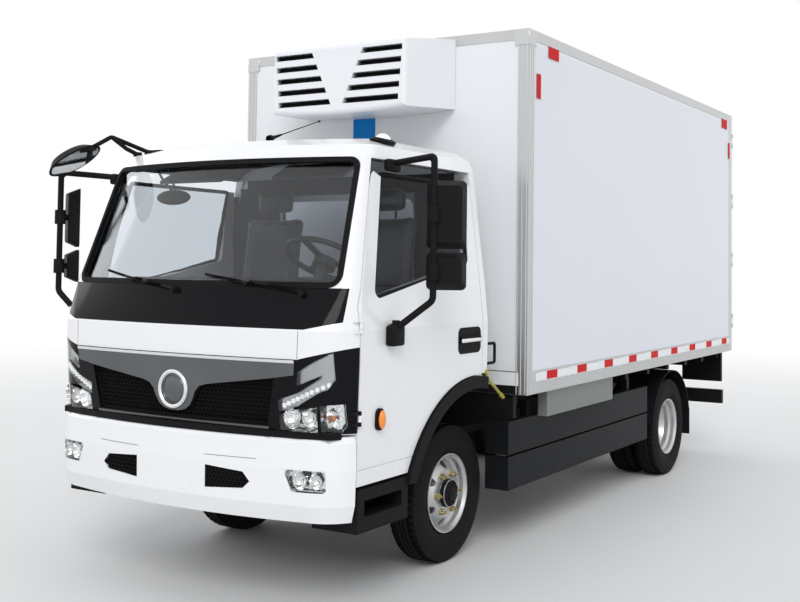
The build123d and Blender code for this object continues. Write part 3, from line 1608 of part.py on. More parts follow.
for side, name in ((1, "left"), (-1, "right")):
    with BuildPart() as cargo_door:
        leaf_x = (side * cargo_middle_gap / 2, side * (door_clear_half - door_seal_gap))
        leaf_low_z = door_clear_low_z + door_seal_gap
        leaf_top_z = door_clear_top_z - door_seal_gap
        leaf_width = abs(leaf_x[1] - leaf_x[0])
        block(min(leaf_x), max(leaf_x), box_rear_y - cargo_door_thickness, box_rear_y, leaf_low_z, leaf_top_z)
        for height in hinge_heights:
            strap_x = (side * hinge_pin_x, side * (hinge_pin_x - hinge_strap_length))
            block(
                min(strap_x), max(strap_x), box_rear_y + small_gap, box_rear_y + hinge_strap_thickness,
                height - hinge_strap_height / 2, height + hinge_strap_height / 2,
            )
            strap_on_leaf_x = (leaf_x[1], side * (hinge_pin_x - hinge_strap_length))
            block(
                min(strap_on_leaf_x), max(strap_on_leaf_x), box_rear_y, box_rear_y + hinge_strap_thickness,
                height - hinge_strap_height / 2, height + hinge_strap_height / 2,
            )
            with BuildSketch(Plane.XY.offset(height - hinge_strap_height / 2)):
                with Locations((side * hinge_pin_x, hinge_pin_y)):
                    Circle(hinge_barrel_radius)
            extrude(amount=hinge_strap_height)
            with BuildSketch(Plane.XY.offset(height - hinge_strap_height / 2)):
                with Locations((side * hinge_pin_x, hinge_pin_y)):
                    Circle(hinge_pin_radius + running_clearance)
            extrude(amount=hinge_strap_height, mode=Mode.SUBTRACT)
        for rod_share in lock_rod_shares:
            rod_x = leaf_x[0] + side * rod_share * leaf_width
            with BuildSketch(Plane.XY.offset(leaf_low_z)):
                with Locations((rod_x, box_rear_y + lock_rod_standoff)):
                    Circle(lock_rod_radius)
            extrude(amount=leaf_top_z - leaf_low_z)
            for keeper_share in lock_keeper_shares:
                keeper_z = leaf_low_z + keeper_share * (leaf_top_z - leaf_low_z)
                block(
                    rod_x - lock_keeper_width / 2, rod_x + lock_keeper_width / 2,
                    box_rear_y, box_rear_y + lock_rod_standoff,
                    keeper_z - lock_keeper_height / 2, keeper_z + lock_keeper_height / 2,
                )
            handle_z = leaf_low_z + lock_handle_share * (leaf_top_z - leaf_low_z)
            inward = 1 if rod_share == lock_rod_shares[0] else -1
            handle_x = (rod_x, rod_x + inward * side * lock_handle_length)
            block(
                min(handle_x), max(handle_x),
                box_rear_y + lock_rod_standoff, box_rear_y + lock_rod_standoff + lock_rod_radius,
                handle_z - lock_handle_width / 2, handle_z + lock_handle_width / 2,
            )
    pieces["cargo_door_" + name] = cargo_door
    print("cargo door", name, len(cargo_door.part.solids()))

# Refrigeration unit on the front wall: a moulded housing that narrows forward,
# with two columns of slots in its face
unit_depth = 441
unit_rear_half = 562
unit_front_half = 480
unit_rear_top_z = 3004
unit_rear_low_z = 2556
unit_front_top_z = 2942
unit_front_low_z = 2530
unit_belly = 22
unit_round = 26
slot_rows = 5
slot_outer_half = 462
slot_top_z = 2912
slot_pitch = 72
slot_height = 34
slot_depth = 60
slot_inner_top_half = 170
slot_inner_low_half = 42
slot_tip_lean = 14
slot_outer_step = 6

with BuildPart() as reefer_unit:
    for station_y, half, top_z, low_z in (
        (box_front_y, unit_rear_half, unit_rear_top_z, unit_rear_low_z),
        (box_front_y - unit_depth, unit_front_half, unit_front_top_z, unit_front_low_z),
    ):
        with BuildSketch(across(station_y)):
            with BuildLine():
                Line((-half, top_z), (half, top_z))
                Line((half, top_z), (half, low_z + unit_belly))
                ThreePointArc((half, low_z + unit_belly), (0, low_z), (-half, low_z + unit_belly))
                Line((-half, low_z + unit_belly), (-half, top_z))
            make_face()
    loft(ruled=True)
    front_edges = edges().group_by(Axis.Y)[0]
    fillet(front_edges, unit_round)
    with BuildSketch(across(box_front_y - unit_depth + slot_depth)):
        for row in range(slot_rows):
            share = row / (slot_rows - 1)
            inner_half = slot_inner_top_half + share * (slot_inner_low_half - slot_inner_top_half)
            outer_half = slot_outer_half - row * slot_outer_step
            top_z = slot_top_z - row * slot_pitch
            for side in (1, -1):
                with BuildLine():
                    Polyline(
                        (side * (inner_half + slot_tip_lean), top_z),
                        (side * outer_half, top_z),
                        (side * outer_half, top_z - slot_height),
                        (side * inner_half, top_z - slot_height),
                        close=True,
                    )
                make_face()
    extrude(amount=unit_depth, mode=Mode.SUBTRACT)
pieces["reefer_unit"] = reefer_unit
print("unit", len(reefer_unit.part.solids()))

# Side guards: two wide bands on each side, with posts up to the bearers
guard_x = 968
guard_thickness = 32
guard_front_reach = 345
guard_rear_reach = 2640
guard_low_z = 350
guard_band_height = 190
guard_band_gap = 12
guard_post_width = 44
guard_return_in = 150
guard_post_shares = (0.14, 0.5, 0.86)

with BuildPart() as side_guards:
    for side in (1, -1):
        face_x = (side * (guard_x - guard_thickness), side * guard_x)
        return_x = (side * (guard_x - guard_return_in), side * guard_x)
        post_x = (side * (guard_x - guard_thickness - guard_post_width), side * (guard_x - guard_thickness))
        start_y = front_axle_y + guard_front_reach
        end_y = front_axle_y + guard_rear_reach
        for low_z in (guard_low_z, guard_low_z + guard_band_height + guard_band_gap):
            block(min(face_x), max(face_x), start_y, end_y, low_z, low_z + guard_band_height)
            block(
                min(return_x), max(return_x), start_y, start_y + guard_thickness,
                low_z, low_z + guard_band_height,
            )
        for share in guard_post_shares:
            post_y = start_y + share * (end_y - start_y)
            block(
                min(post_x), max(post_x), post_y - guard_post_width / 2, post_y + guard_post_width / 2,
                guard_low_z, sill_top_z,
            )
            block(
                min(side * frame_half_width, side * (guard_x - guard_thickness)),
                max(side * frame_half_width, side * (guard_x - guard_thickness)),
                post_y - guard_post_width / 2, post_y + guard_post_width / 2,
                sill_top_z - guard_post_width, sill_top_z,
            )
pieces["side_guards"] = side_guards
print("guards", len(side_guards.part.solids()))

# Pale locker under the body's left side
locker_front_reach = 735
locker_rear_reach = 1790
locker_low_z = 735
locker_depth = 60

with BuildPart() as floor_locker:
    block(
        guard_x, guard_x + locker_depth, front_axle_y + locker_front_reach,
        front_axle_y + locker_rear_reach, locker_low_z, box_bottom_z,
    )
pieces["floor_locker"] = floor_locker

# Fuel tank on the right, slung from the frame
tank_front_reach = 950
tank_rear_reach = 1780
tank_low_z = 400
tank_top_z = 700
tank_outer_x = 850
tank_round = 50
tank_strap_width = 50
tank_strap_shares = (0.2, 0.8)

with BuildPart() as fuel_tank:
    block(
        -tank_outer_x, -frame_half_width - tank_round, front_axle_y + tank_front_reach,
        front_axle_y + tank_rear_reach, tank_low_z, tank_top_z,
    )
    fillet(edges().filter_by(Axis.Y), tank_round)
    for share in tank_strap_shares:
        strap_y = front_axle_y + tank_front_reach + share * (tank_rear_reach - tank_front_reach)
        block(
            -frame_half_width - 2 * tank_round, -frame_half_width, strap_y - tank_strap_width / 2,
            strap_y + tank_strap_width / 2, frame_bottom_z + rail_metal, tank_top_z - tank_round,
        )
pieces["fuel_tank"] = fuel_tank

# Rear mudguards: an arched sheet over the twin wheels, with a flap behind
fender_radius = 440
fender_metal = 5
fender_in_x = 640
fender_out_x = 985
fender_low_z = 440
flap_low_z = 265
flap_thickness = 8
fender_web_width = 30
fender_bearer = 6

with BuildPart() as rear_mudguards:
    for side in (1, -1):
        fender_x = (side * fender_in_x, side * fender_out_x)
        with BuildSketch(along(min(fender_x))):
            with Locations((rear_axle_y, axle_z)):
                Circle(fender_radius + fender_metal)
                Circle(fender_radius, mode=Mode.SUBTRACT)
        extrude(amount=fender_out_x - fender_in_x)
    block(
        -box_half, box_half, rear_axle_y - fender_radius - overrun, rear_axle_y + fender_radius + overrun,
        axle_z - fender_radius - overrun, fender_low_z, mode=Mode.SUBTRACT,
    )
    for side in (1, -1):
        fender_x = (side * fender_in_x, side * fender_out_x)
        flap_y = rear_axle_y + (fender_radius ** 2 - (fender_low_z - axle_z) ** 2) ** 0.5
        block(
            min(fender_x), max(fender_x), flap_y, flap_y + flap_thickness,
            flap_low_z, fender_low_z + overrun,
        )
        web_x = side * (fender_in_x + fender_web_width)
        web_y = box_front_y + bearer_width + fender_bearer * bearer_pitch
        block(
            web_x - fender_web_width, web_x + fender_web_width,
            web_y - bearer_width / 2, web_y + bearer_width / 2,
            axle_z + fender_radius, sill_top_z,
        )
pieces["rear_mudguards"] = rear_mudguards
print("mudguards", len(rear_mudguards.part.solids()))

# Rear underrun bar with its brackets, and the lamps above it
underrun_z = 425
underrun_height = 120
underrun_depth = 50
underrun_half = 1000
underrun_setback = 70
underrun_bracket_width = 12
underrun_bracket_depth = 90
lamp_panel_low_z = 615
lamp_panel_inner = 620
lamp_panel_depth = 46

with BuildPart() as rear_underrun:
    bar_y = box_rear_y - underrun_setback
    block(
        -underrun_half, underrun_half, bar_y - underrun_depth, bar_y,
        underrun_z, underrun_z + underrun_height,
    )
    for side in (1, -1):
        bracket_x = (side * frame_half_width, side * (frame_half_width + underrun_bracket_width))
        block(
            min(bracket_x), max(bracket_x), bar_y - underrun_bracket_depth, bar_y,
            underrun_z, frame_top_z - rail_metal,
        )
pieces["rear_underrun"] = rear_underrun

with BuildPart() as tail_lamps:
    for side in (1, -1):
        lamp_x = (side * lamp_panel_inner, side * (box_half - 2 * overrun))
        block(
            min(lamp_x), max(lamp_x),
            box_rear_y - underrun_setback, box_rear_y - underrun_setback + lamp_panel_depth,
            lamp_panel_low_z, box_bottom_z,
        )
pieces["tail_lamps"] = tail_lamps

# Wheels: the disc bulges outward in front and is dished inward on the outer twin
disc_face_front = 66
disc_face_twin = -twin_spacing / 2
disc_metal = 9
disc_bend_radius = 134
disc_edge_radius = rim_well_radius
disc_edge_front = 12
disc_edge_twin = -6
drum_radius = 128
drum_depth = 78
hub_cap_reach = 30
rim_flange_width = 16
rim_inner_half = rim_half_width - rim_flange_width
rim_well_half = rim_inner_half / 4


def rim_outline(face, edge):
    """Half section of a rim and its disc, as (distance along the axle, radius)."""
    return (
        [
            (-rim_half_width, rim_flange_radius),
            (-rim_half_width + rim_metal, rim_flange_radius),
            (-rim_inner_half, rim_seat_radius),
            (-rim_inner_half / 2, rim_seat_radius),
            (-rim_well_half, rim_well_radius),
            (rim_well_half, rim_well_radius),
            (rim_inner_half / 2, rim_seat_radius),
            (rim_inner_half, rim_seat_radius),
            (rim_half_width - rim_metal, rim_flange_radius),
            (rim_half_width, rim_flange_radius),
            (rim_half_width, rim_flange_radius - rim_metal),
            (rim_inner_half, rim_seat_radius - rim_metal),
            (rim_inner_half / 2 + rim_metal / 2, rim_seat_radius - rim_metal),
            (rim_well_half + rim_metal / 2, rim_well_radius - rim_metal),
            (-rim_well_half - rim_metal / 2, rim_well_radius - rim_metal),
            (-rim_inner_half / 2 - rim_metal / 2, rim_seat_radius - rim_metal),
            (-rim_inner_half, rim_seat_radius - rim_metal),
            (-rim_half_width, rim_flange_radius - rim_metal),
        ],
        [
            (edge - disc_metal, disc_edge_radius - rim_metal / 2),
            (edge, disc_edge_radius - rim_metal / 2),
            (face, disc_bend_radius),
            (face, hub_radius),
            (face - disc_metal, hub_radius),
            (face - disc_metal, disc_bend_radius),
        ],
    )


def wheel_plane(centre_x, centre_y, side):
    """Plane through the axle line, with local x outward along it and local y up."""
    return Plane(origin=(centre_x, centre_y, axle_z), x_dir=(side, 0, 0), z_dir=(0, -side, 0))


# Side wall of a tyre, as shares of half its width and of its height over the rim
tyre_wall_shares = ((0.92, 0.20), (1.00, 0.46), (0.97, 0.70), (0.875, 0.91))


def tyre_profile():
    """Closed tyre section above the axle: tread, shoulders, side walls and beads."""
    bead = rim_seat_radius + bead_gap
    half_tread = tread_width / 2
    wall_height = tyre_radius - rim_flange_radius
    one_side = [
        (rim_inner_half - rim_metal, bead),
        (rim_inner_half + bead_gap, rim_flange_radius + bead_gap),
    ]
    for bulge_share, rise_share in tyre_wall_shares:
        one_side.append((bulge_share * tyre_width / 2, rim_flange_radius + rise_share * wall_height))
    one_side.append((half_tread - rim_metal, tyre_radius))
    other_side = [(-station, level) for station, level in reversed(one_side)]
    Polyline(*one_side, *other_side, close=True)


for side, name in ((1, "left"), (-1, "right")):
    for row, centre_y, tyre_places in (
        ("front", front_axle_y, [(front_wheel_x, side, disc_face_front, disc_edge_front)]),
        (
            "rear", rear_axle_y,
            [
                (rear_outer_x, side, disc_face_twin + disc_metal, disc_edge_twin),
                (rear_outer_x - twin_spacing, -side, disc_face_twin + disc_metal, disc_edge_twin),
            ],
        ),
    ):
        axle_line = Axis((0, centre_y, axle_z), (1, 0, 0))
        with BuildPart() as rim:
            for centre_x, facing, face, edge in tyre_places:
                rim_shape, disc_shape = rim_outline(face, edge)
                with BuildSketch(wheel_plane(side * centre_x, centre_y, facing)):
                    with BuildLine():
                        Polyline(*rim_shape, close=True)
                    make_face()
                    with BuildLine():
                        Polyline(*disc_shape, close=True)
                    make_face()
                revolve(axis=axle_line)
            outer_x, facing, face, edge = tyre_places[0]
            face_x = side * (outer_x + face)
            hole_plane = Plane(origin=(face_x, centre_y, axle_z), x_dir=(0, 1, 0), z_dir=(side, 0, 0))
            with BuildSketch(hole_plane.offset(overrun)):
                with PolarLocations(hand_hole_circle_radius, nut_count, start_angle=half_turn / nut_count):
                    Circle(hand_hole_radius)
            extrude(amount=-hand_hole_depth, mode=Mode.SUBTRACT)
            with BuildSketch(hole_plane):
                with PolarLocations(nut_circle_radius, nut_count):
                    RegularPolygon(nut_radius, nut_sides)
            extrude(amount=nut_height)
            # Hub through the disc, with the brake drum behind it
            hub_back = side * (king_pin_x + eye_radius + fork_gap + fork_web + backing_thickness + fork_gap)
            if row == "rear":
                hub_back = side * (axle_tube_half + fork_gap)
            with BuildSketch(along(min(hub_back, face_x + side * hub_cap_reach))):
                with Locations((centre_y, axle_z)):
                    Circle(hub_radius)
            extrude(amount=abs(face_x + side * hub_cap_reach - hub_back))
            with BuildSketch(along(min(hub_back, hub_back + side * drum_depth))):
                with Locations((centre_y, axle_z)):
                    Circle(drum_radius)
            extrude(amount=drum_depth)
            bore_radius = spindle_radius if row == "front" else rear_spindle_radius
            bore_length = spindle_length if row == "front" else rear_spindle_reach
            with BuildSketch(along(min(hub_back, hub_back + side * bore_length))):
                with Locations((centre_y, axle_z)):
                    Circle(bore_radius + running_clearance)
            extrude(amount=bore_length, mode=Mode.SUBTRACT)
        pieces[f"wheel_{row}_{name}"] = rim
        with BuildPart() as tyre:
            for centre_x, facing, face, edge in tyre_places:
                with BuildSketch(wheel_plane(side * centre_x, centre_y, facing)):
                    with BuildLine():
                        tyre_profile()
                    make_face()
                revolve(axis=axle_line)
        pieces[f"tyre_{row}_{name}"] = tyre
        print(row, name, len(rim.part.solids()), len(tyre.part.solids()))

for label, piece in pieces.items():
    piece.part.label = label
    export_step(piece.part, f"parts/{label}.step")
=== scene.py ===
import bpy
import bmesh
import math
from mathutils import Matrix, Vector
from mathutils.bvhtree import BVHTree


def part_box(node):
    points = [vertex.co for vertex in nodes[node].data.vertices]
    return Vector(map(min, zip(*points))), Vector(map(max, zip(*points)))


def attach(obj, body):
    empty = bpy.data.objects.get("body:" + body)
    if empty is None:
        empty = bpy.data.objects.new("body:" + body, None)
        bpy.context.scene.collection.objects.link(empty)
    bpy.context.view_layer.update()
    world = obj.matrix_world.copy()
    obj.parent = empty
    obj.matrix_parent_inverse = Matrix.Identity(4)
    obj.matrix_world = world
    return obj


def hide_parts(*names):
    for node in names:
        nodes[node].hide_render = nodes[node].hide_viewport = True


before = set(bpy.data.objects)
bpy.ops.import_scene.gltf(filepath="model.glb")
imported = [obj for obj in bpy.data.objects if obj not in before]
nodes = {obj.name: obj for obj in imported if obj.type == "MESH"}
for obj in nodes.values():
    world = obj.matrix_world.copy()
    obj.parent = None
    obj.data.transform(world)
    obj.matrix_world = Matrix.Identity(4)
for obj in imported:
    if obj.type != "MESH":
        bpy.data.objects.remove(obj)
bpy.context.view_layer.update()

tyreLow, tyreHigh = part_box("tyre_front_left")
frontAxle = (tyreLow.y + tyreHigh.y) / 2
axleHeight = (tyreLow.z + tyreHigh.z) / 2
rearLow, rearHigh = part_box("tyre_rear_left")
rearAxle = (rearLow.y + rearHigh.y) / 2
boxLow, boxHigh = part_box("box_trim")
print("stage: frame loaded, front axle at", round(frontAxle, 3))


# Finishes
def setInputs(tree, node, inputs):
    for socket, value in inputs.items():
        if isinstance(value, bpy.types.NodeSocket):
            tree.links.new(value, node.inputs[socket])
        else:
            node.inputs[socket].default_value = value


def addNode(tree, kind, output, inputs=None, **settings):
    node = tree.nodes.new("ShaderNode" + kind)
    for name, value in settings.items():
        setattr(node, name, value)
    setInputs(tree, node, inputs or {})
    return node.outputs[output]


def addNoise(tree, source, scale, detail):
    return addNode(tree, "TexNoise", "Fac", {"Scale": scale, "Detail": detail, "Roughness": 0.5, "Vector": source})


def addRamp(tree, factor, blend, *stops):
    node = tree.nodes.new("ShaderNodeValToRGB")
    node.color_ramp.interpolation = blend
    for element, (position, colour) in zip(node.color_ramp.elements, stops):
        element.position = position
        element.color = [*colour, 1]
    tree.links.new(factor, node.inputs["Fac"])
    return node.outputs["Color"]


def placeIn(tree):
    return tree.nodes["Texture Coordinate"].outputs["Object"]


def finishOf(name, colour, rough, metal=0.0, vary=0.06, patch=1.6, grain=240.0, bump=0.05,
             depth=0.0004, stretch=(1, 1, 1), **sockets):
    material = bpy.data.materials.new(name)
    material.use_nodes = True
    tree = material.node_tree
    place = addNode(tree, "TexCoord", "Object")
    spread = addNode(tree, "Mapping", "Vector", {"Vector": place, "Scale": stretch})
    patches = addNoise(tree, spread, patch, 5.0)
    shade = addRamp(tree, patches, "EASE", (0.22, [part * (1 - vary) for part in colour]), (0.78, colour))
    gloss = addNode(tree, "MapRange", "Result", {
        "Value": patches, "From Min": 0.2, "From Max": 0.8, "To Min": rough * 0.9, "To Max": min(1.0, rough * 1.12)})
    grains = addNoise(tree, spread, grain, 2.0)
    relief = addNode(tree, "Bump", "Normal", {"Strength": bump, "Distance": depth, "Height": grains})
    look = {"Base Color": shade, "Roughness": gloss, "Normal": relief, "Metallic": metal}
    look.update({socket.replace("_", " "): value for socket, value in sockets.items()})
    setInputs(tree, tree.nodes["Principled BSDF"], look)
    return material


def cellFinish(name, colour, edgeColour, rough, scale, **sockets):
    material = finishOf(name, colour, rough, **sockets)
    tree = material.node_tree
    cells = addNode(tree, "TexVoronoi", "Distance", {"Scale": scale, "Vector": placeIn(tree)},
                    feature="DISTANCE_TO_EDGE")
    edges = addRamp(tree, cells, "LINEAR", (0.02, edgeColour), (0.07, colour))
    setInputs(tree, tree.nodes["Principled BSDF"], {"Base Color": edges})
    setInputs(tree, tree.nodes["Bump"], {"Height": cells})
    return material


def weaveFinish(name, colour, rough, scale, bump, **sockets):
    material = finishOf(name, colour, rough, **sockets)
    tree = material.node_tree
    threads = {"Scale": scale, "Distortion": 0.4, "Vector": placeIn(tree)}
    waves = [addNode(tree, "TexWave", "Fac", threads, wave_type="BANDS", bands_direction=direction)
             for direction in ("X", "Z")]
    height = addNode(tree, "Math", "Value", dict(enumerate(waves)), operation="MAXIMUM")
    setInputs(tree, tree.nodes["Bump"], {"Height": height, "Strength": bump, "Distance": 0.0008})
    return material


clearLook = {"Transmission_Weight": 1.0, "IOR": 1.45}
dullLook = {"Specular_IOR_Level": 0.07}
whitePaint = finishOf("whitePaint", (0.82, 0.825, 0.835), 0.26, vary=0.006, grain=900, bump=0.02, Coat_Weight=0.6,
                      Coat_Roughness=0.06)
panelWhite = finishOf("panelWhite", (0.80, 0.81, 0.835), 0.34, vary=0.02, patch=0.9, grain=14, bump=0.06,
                      depth=0.002, Coat_Weight=0.25, Coat_Roughness=0.15)
# The side walls take a darker, bluer copy of the panel white: painted shade on the box's sides.
boxSideWithPaintedShade = finishOf("boxSideWithPaintedShade", (0.72, 0.735, 0.79), 0.36, vary=0.02, patch=0.9, grain=14, bump=0.06, depth=0.002,
                   Coat_Weight=0.2, Coat_Roughness=0.2)
aluminiumRail = finishOf("aluminiumRail", (0.62, 0.625, 0.63), 0.34, 0.85, vary=0.10, grain=160, bump=0.10,
                         stretch=(1, 0.03, 1))
# The posts take a lighter copy of the rail aluminium: painted highlight on the posts, door frame and corner covers.
aluminiumPostWithPaintedHighlight = finishOf("aluminiumPostWithPaintedHighlight", (0.66, 0.665, 0.67), 0.34, 0.85, vary=0.10, grain=160, bump=0.10,
                         stretch=(1, 1, 0.03))
frameBlack = finishOf("frameBlack", (0.012, 0.012, 0.013), 0.42, vary=0.25, grain=120, bump=0.12, **dullLook)
blackPlastic = finishOf("blackPlastic", (0.010, 0.010, 0.011), 0.50, vary=0.2, grain=900, bump=0.25, depth=0.0003,
                        **dullLook)
guardBlack = finishOf("guardBlack", (0.010, 0.011, 0.013), 0.40, vary=0.25, grain=500, bump=0.15, **dullLook)
glossBlack = finishOf("glossBlack", (0.005, 0.005, 0.0065), 0.10, vary=0.1, grain=600, bump=0.01,
                      Specular_IOR_Level=0.12)
wingGrey = finishOf("wingGrey", (0.16, 0.165, 0.17), 0.20, 0.9, vary=0.18, patch=3.0, grain=700, bump=0.02)
sealRubber = finishOf("sealRubber", (0.010, 0.010, 0.011), 0.6, vary=0.2, grain=700, bump=0.2, **dullLook)
tyreRubber = finishOf("tyreRubber", (0.013, 0.013, 0.014), 0.68, vary=0.25, patch=6, grain=420, bump=0.35,
                      **dullLook)
# Grey for the cab's panel seams, also used as painted shade along the bumper's creases.
seamGreyAndCreaseShade = finishOf("seamGreyAndCreaseShade", (0.16, 0.165, 0.17), 0.6, vary=0.1, grain=300, bump=0.05)
wheelSilver = finishOf("wheelSilver", (0.56, 0.565, 0.57), 0.34, 0.75, vary=0.08, grain=900, bump=0.06)
chromeBright = finishOf("chromeBright", (0.86, 0.865, 0.87), 0.07, 1.0, vary=0.03, grain=300, bump=0.01)
satinChrome = finishOf("satinChrome", (0.50, 0.505, 0.51), 0.27, 1.0, vary=0.08, grain=500, bump=0.05,
                       stretch=(0.05, 1, 1))
zincYellow = finishOf("zincYellow", (0.62, 0.50, 0.24), 0.33, 1.0, vary=0.3, patch=60, grain=600, bump=0.1)
castIron = finishOf("castIron", (0.035, 0.035, 0.036), 0.6, vary=0.3, grain=260, bump=0.45, depth=0.0008)
lockerGrey = finishOf("lockerGrey", (0.17, 0.18, 0.175), 0.38, vary=0.06, grain=500, bump=0.12)
dashPlastic = finishOf("dashPlastic", (0.022, 0.022, 0.025), 0.55, vary=0.1, grain=800, bump=0.35)
liningGrey = finishOf("liningGrey", (0.07, 0.07, 0.075), 0.7, vary=0.08, grain=600, bump=0.3)
seatCloth = weaveFinish("seatCloth", (0.05, 0.052, 0.06), 0.75, 130.0, 0.5, vary=0.2, Sheen_Weight=0.3,
                        Coat_Weight=0.7, Coat_Roughness=0.12)
clearGlass = finishOf("clearGlass", (0.80, 0.84, 0.88), 0.015, vary=0.02, grain=2, bump=0.0, **clearLook)
sideGlass = finishOf("sideGlass", (0.66, 0.69, 0.72), 0.015, vary=0.02, grain=2, bump=0.0, Transmission_Weight=1.0,
                     IOR=1.12)
lampLens = finishOf("lampLens", (0.97, 0.98, 0.98), 0.02, vary=0.02, grain=40, bump=0.02, **clearLook)
facetChrome = cellFinish("facetChrome", (0.88, 0.885, 0.89), (0.60, 0.605, 0.61), 0.10, 42.0, metal=1.0, bump=0.45,
                         depth=0.003)
lampRed = finishOf("lampRed", (0.62, 0.012, 0.012), 0.16, vary=0.2, grain=160, bump=0.15, Coat_Weight=0.8)
lampAmber = finishOf("lampAmber", (0.95, 0.27, 0.02), 0.16, vary=0.15, grain=160, bump=0.15, Coat_Weight=0.8)
lampWhite = finishOf("lampWhite", (0.90, 0.91, 0.93), 0.2, vary=0.05, grain=200, bump=0.2, Coat_Weight=0.8,
                     Emission_Strength=0.35)
mirrorGlass = finishOf("mirrorGlass", (0.88, 0.89, 0.90), 0.02, 1.0, vary=0.02, grain=2, bump=0.0)
blueFilm = finishOf("blueFilm", (0.01, 0.22, 0.62), 0.5, vary=0.12, grain=300, bump=0.05, **dullLook)
strapYellow = finishOf("strapYellow", (0.42, 0.36, 0.06), 0.5, vary=0.15, grain=500, bump=0.3)
tapeRed = cellFinish("tapeRed", (0.60, 0.012, 0.01), (0.52, 0.04, 0.035), 0.5, 260.0, bump=0.1, **dullLook)
tapeWhite = cellFinish("tapeWhite", (0.72, 0.74, 0.76), (0.90, 0.91, 0.92), 0.25, 260.0, bump=0.1,
                       Coat_Weight=0.6)

nodeFinishes = {
    whitePaint: ("cab_shell", "cab_door_left", "cab_door_right", "bumper", "cargo_door_left", "cargo_door_right"),
    panelWhite: ("box_front_wall", "box_roof", "reefer_unit"),
    boxSideWithPaintedShade: ("box_left_wall", "box_right_wall"),
    aluminiumRail: ("box_trim", "box_floor"),
    aluminiumPostWithPaintedHighlight: ("rear_door_frame",),
    frameBlack: ("chassis_frame", "box_subframe", "rear_underrun", "fuel_tank"),
    castIron: ("front_axle", "rear_axle", "knuckle_left", "knuckle_right", "leaf_springs", "powertrain"),
    blackPlastic: ("grille_mesh", "mirror_left", "mirror_right", "front_view_mirror", "wheel_arches", "wipers",
                   "roof_fittings", "door_fittings_left", "door_fittings_right", "tail_lamps"),
    guardBlack: ("side_guards", "rear_mudguards"),
    glossBlack: ("front_panel", "grille_surround"),
    sealRubber: ("windshield_seal",),
    tyreRubber: ("tyre_front_left", "tyre_front_right", "tyre_rear_left", "tyre_rear_right"),
    wheelSilver: ("wheel_front_left", "wheel_front_right", "wheel_rear_left", "wheel_rear_right"),
    satinChrome: ("wing_bar",),
    chromeBright: ("fog_lamps",),
    lampLens: ("headlamps",),
    clearGlass: ("windshield",),
    sideGlass: ("door_glass_left", "door_glass_right", "cab_rear_window"),
    dashPlastic: ("dashboard", "steering_wheel"),
    seatCloth: ("driver_seat", "passenger_seat"),
    lockerGrey: ("floor_locker",),
}
for finish, names in nodeFinishes.items():
    for name in names:
        nodes[name].data.materials.clear()
        nodes[name].data.materials.append(finish)
print("stage: finishes made")


sameSpot = 0.00002


# Making pieces
def vertsIn(geometry):
    return [item for item in geometry if isinstance(item, bmesh.types.BMVert)]


def meshFrom(bm, name):
    mesh = bpy.data.meshes.new(name)
    bm.to_mesh(mesh)
    bm.free()
    return mesh


def placeObject(name, data):
    made = bpy.data.objects.new(name, data)
    bpy.context.scene.collection.objects.link(made)
    return made


def bevelEdges(bm, edges, size, segments):
    bmesh.ops.bevel(bm, geom=edges, offset=size, offset_type="OFFSET", segments=segments, profile=0.5,
                    affect="EDGES", clamp_overlap=True, material=-1)


def addBlock(bm, low, high, round=0.0, segments=2):
    # the two corners may come in any order
    low, high = (Vector([pick(pair) for pair in zip(low, high)]) for pick in (min, max))
    place = Matrix.Translation((low + high) / 2) @ Matrix.Diagonal((high - low).to_4d())
    made = bmesh.ops.create_cube(bm, size=1, matrix=place)["verts"]
    if round:
        bevelEdges(bm, list({edge for vert in made for edge in vert.link_edges}), round, segments)


def addBall(bm, size, place, rings=16):
    made = bmesh.ops.create_uvsphere(bm, u_segments=32, v_segments=rings, radius=1)["verts"]
    bmesh.ops.scale(bm, vec=size, verts=made)
    bmesh.ops.transform(bm, matrix=place, verts=made)


def addRod(bm, start, end, radius, endRadius=None, sides=20, caps=True):
    start, end = Vector(start), Vector(end)
    along = end - start
    place = Matrix.Translation((start + end) / 2) @ along.to_track_quat("Z", "Y").to_matrix().to_4x4()
    return bmesh.ops.create_cone(bm, cap_ends=caps, segments=sides, radius1=radius,
                                 radius2=radius if endRadius is None else endRadius,
                                 depth=along.length, matrix=place)["verts"]


def addTube(bm, points, radius, sides=10, corner=0.03):
    curve = bpy.data.curves.new("tubeGuide", "CURVE")
    curve.dimensions = "3D"
    curve.bevel_depth = radius
    curve.bevel_resolution = max(1, sides // 4)
    curve.use_fill_caps = True
    curve.resolution_u = 6
    spots = [Vector(point) for point in points]
    rounded = [spots[0]]
    for before, here, after in zip(spots, spots[1:], spots[2:]):
        reachIn = min(corner, (before - here).length / 2.2)
        reachOut = min(corner, (after - here).length / 2.2)
        rounded += [here + (before - here).normalized() * reachIn, here, here + (after - here).normalized() * reachOut]
    rounded.append(spots[-1])
    spline = curve.splines.new("NURBS")
    spline.points.add(len(rounded) - 1)
    for knot, spot in zip(spline.points, rounded):
        knot.co = (*spot, 1)
    spline.use_endpoint_u = True
    spline.order_u = 3
    guide = placeObject("tubeGuide", curve)
    bpy.context.view_layer.update()
    mesh = bpy.data.meshes.new_from_object(guide.evaluated_get(bpy.context.evaluated_depsgraph_get()))
    bm.from_mesh(mesh)
    bpy.data.objects.remove(guide)
    bpy.data.meshes.remove(mesh)


def keep(name, body, bm, finish, sharp=32, outward=True):
    bmesh.ops.remove_doubles(bm, verts=bm.verts, dist=sameSpot)
    if outward:
        bmesh.ops.recalc_face_normals(bm, faces=bm.faces)
    mesh = meshFrom(bm, name)
    mesh.materials.append(finish)
    mesh.polygons.foreach_set("use_smooth", [True] * len(mesh.polygons))
    mesh.set_sharp_from_angle(angle=math.radians(sharp))
    piece = placeObject(name, mesh)
    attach(piece, body)
    return piece


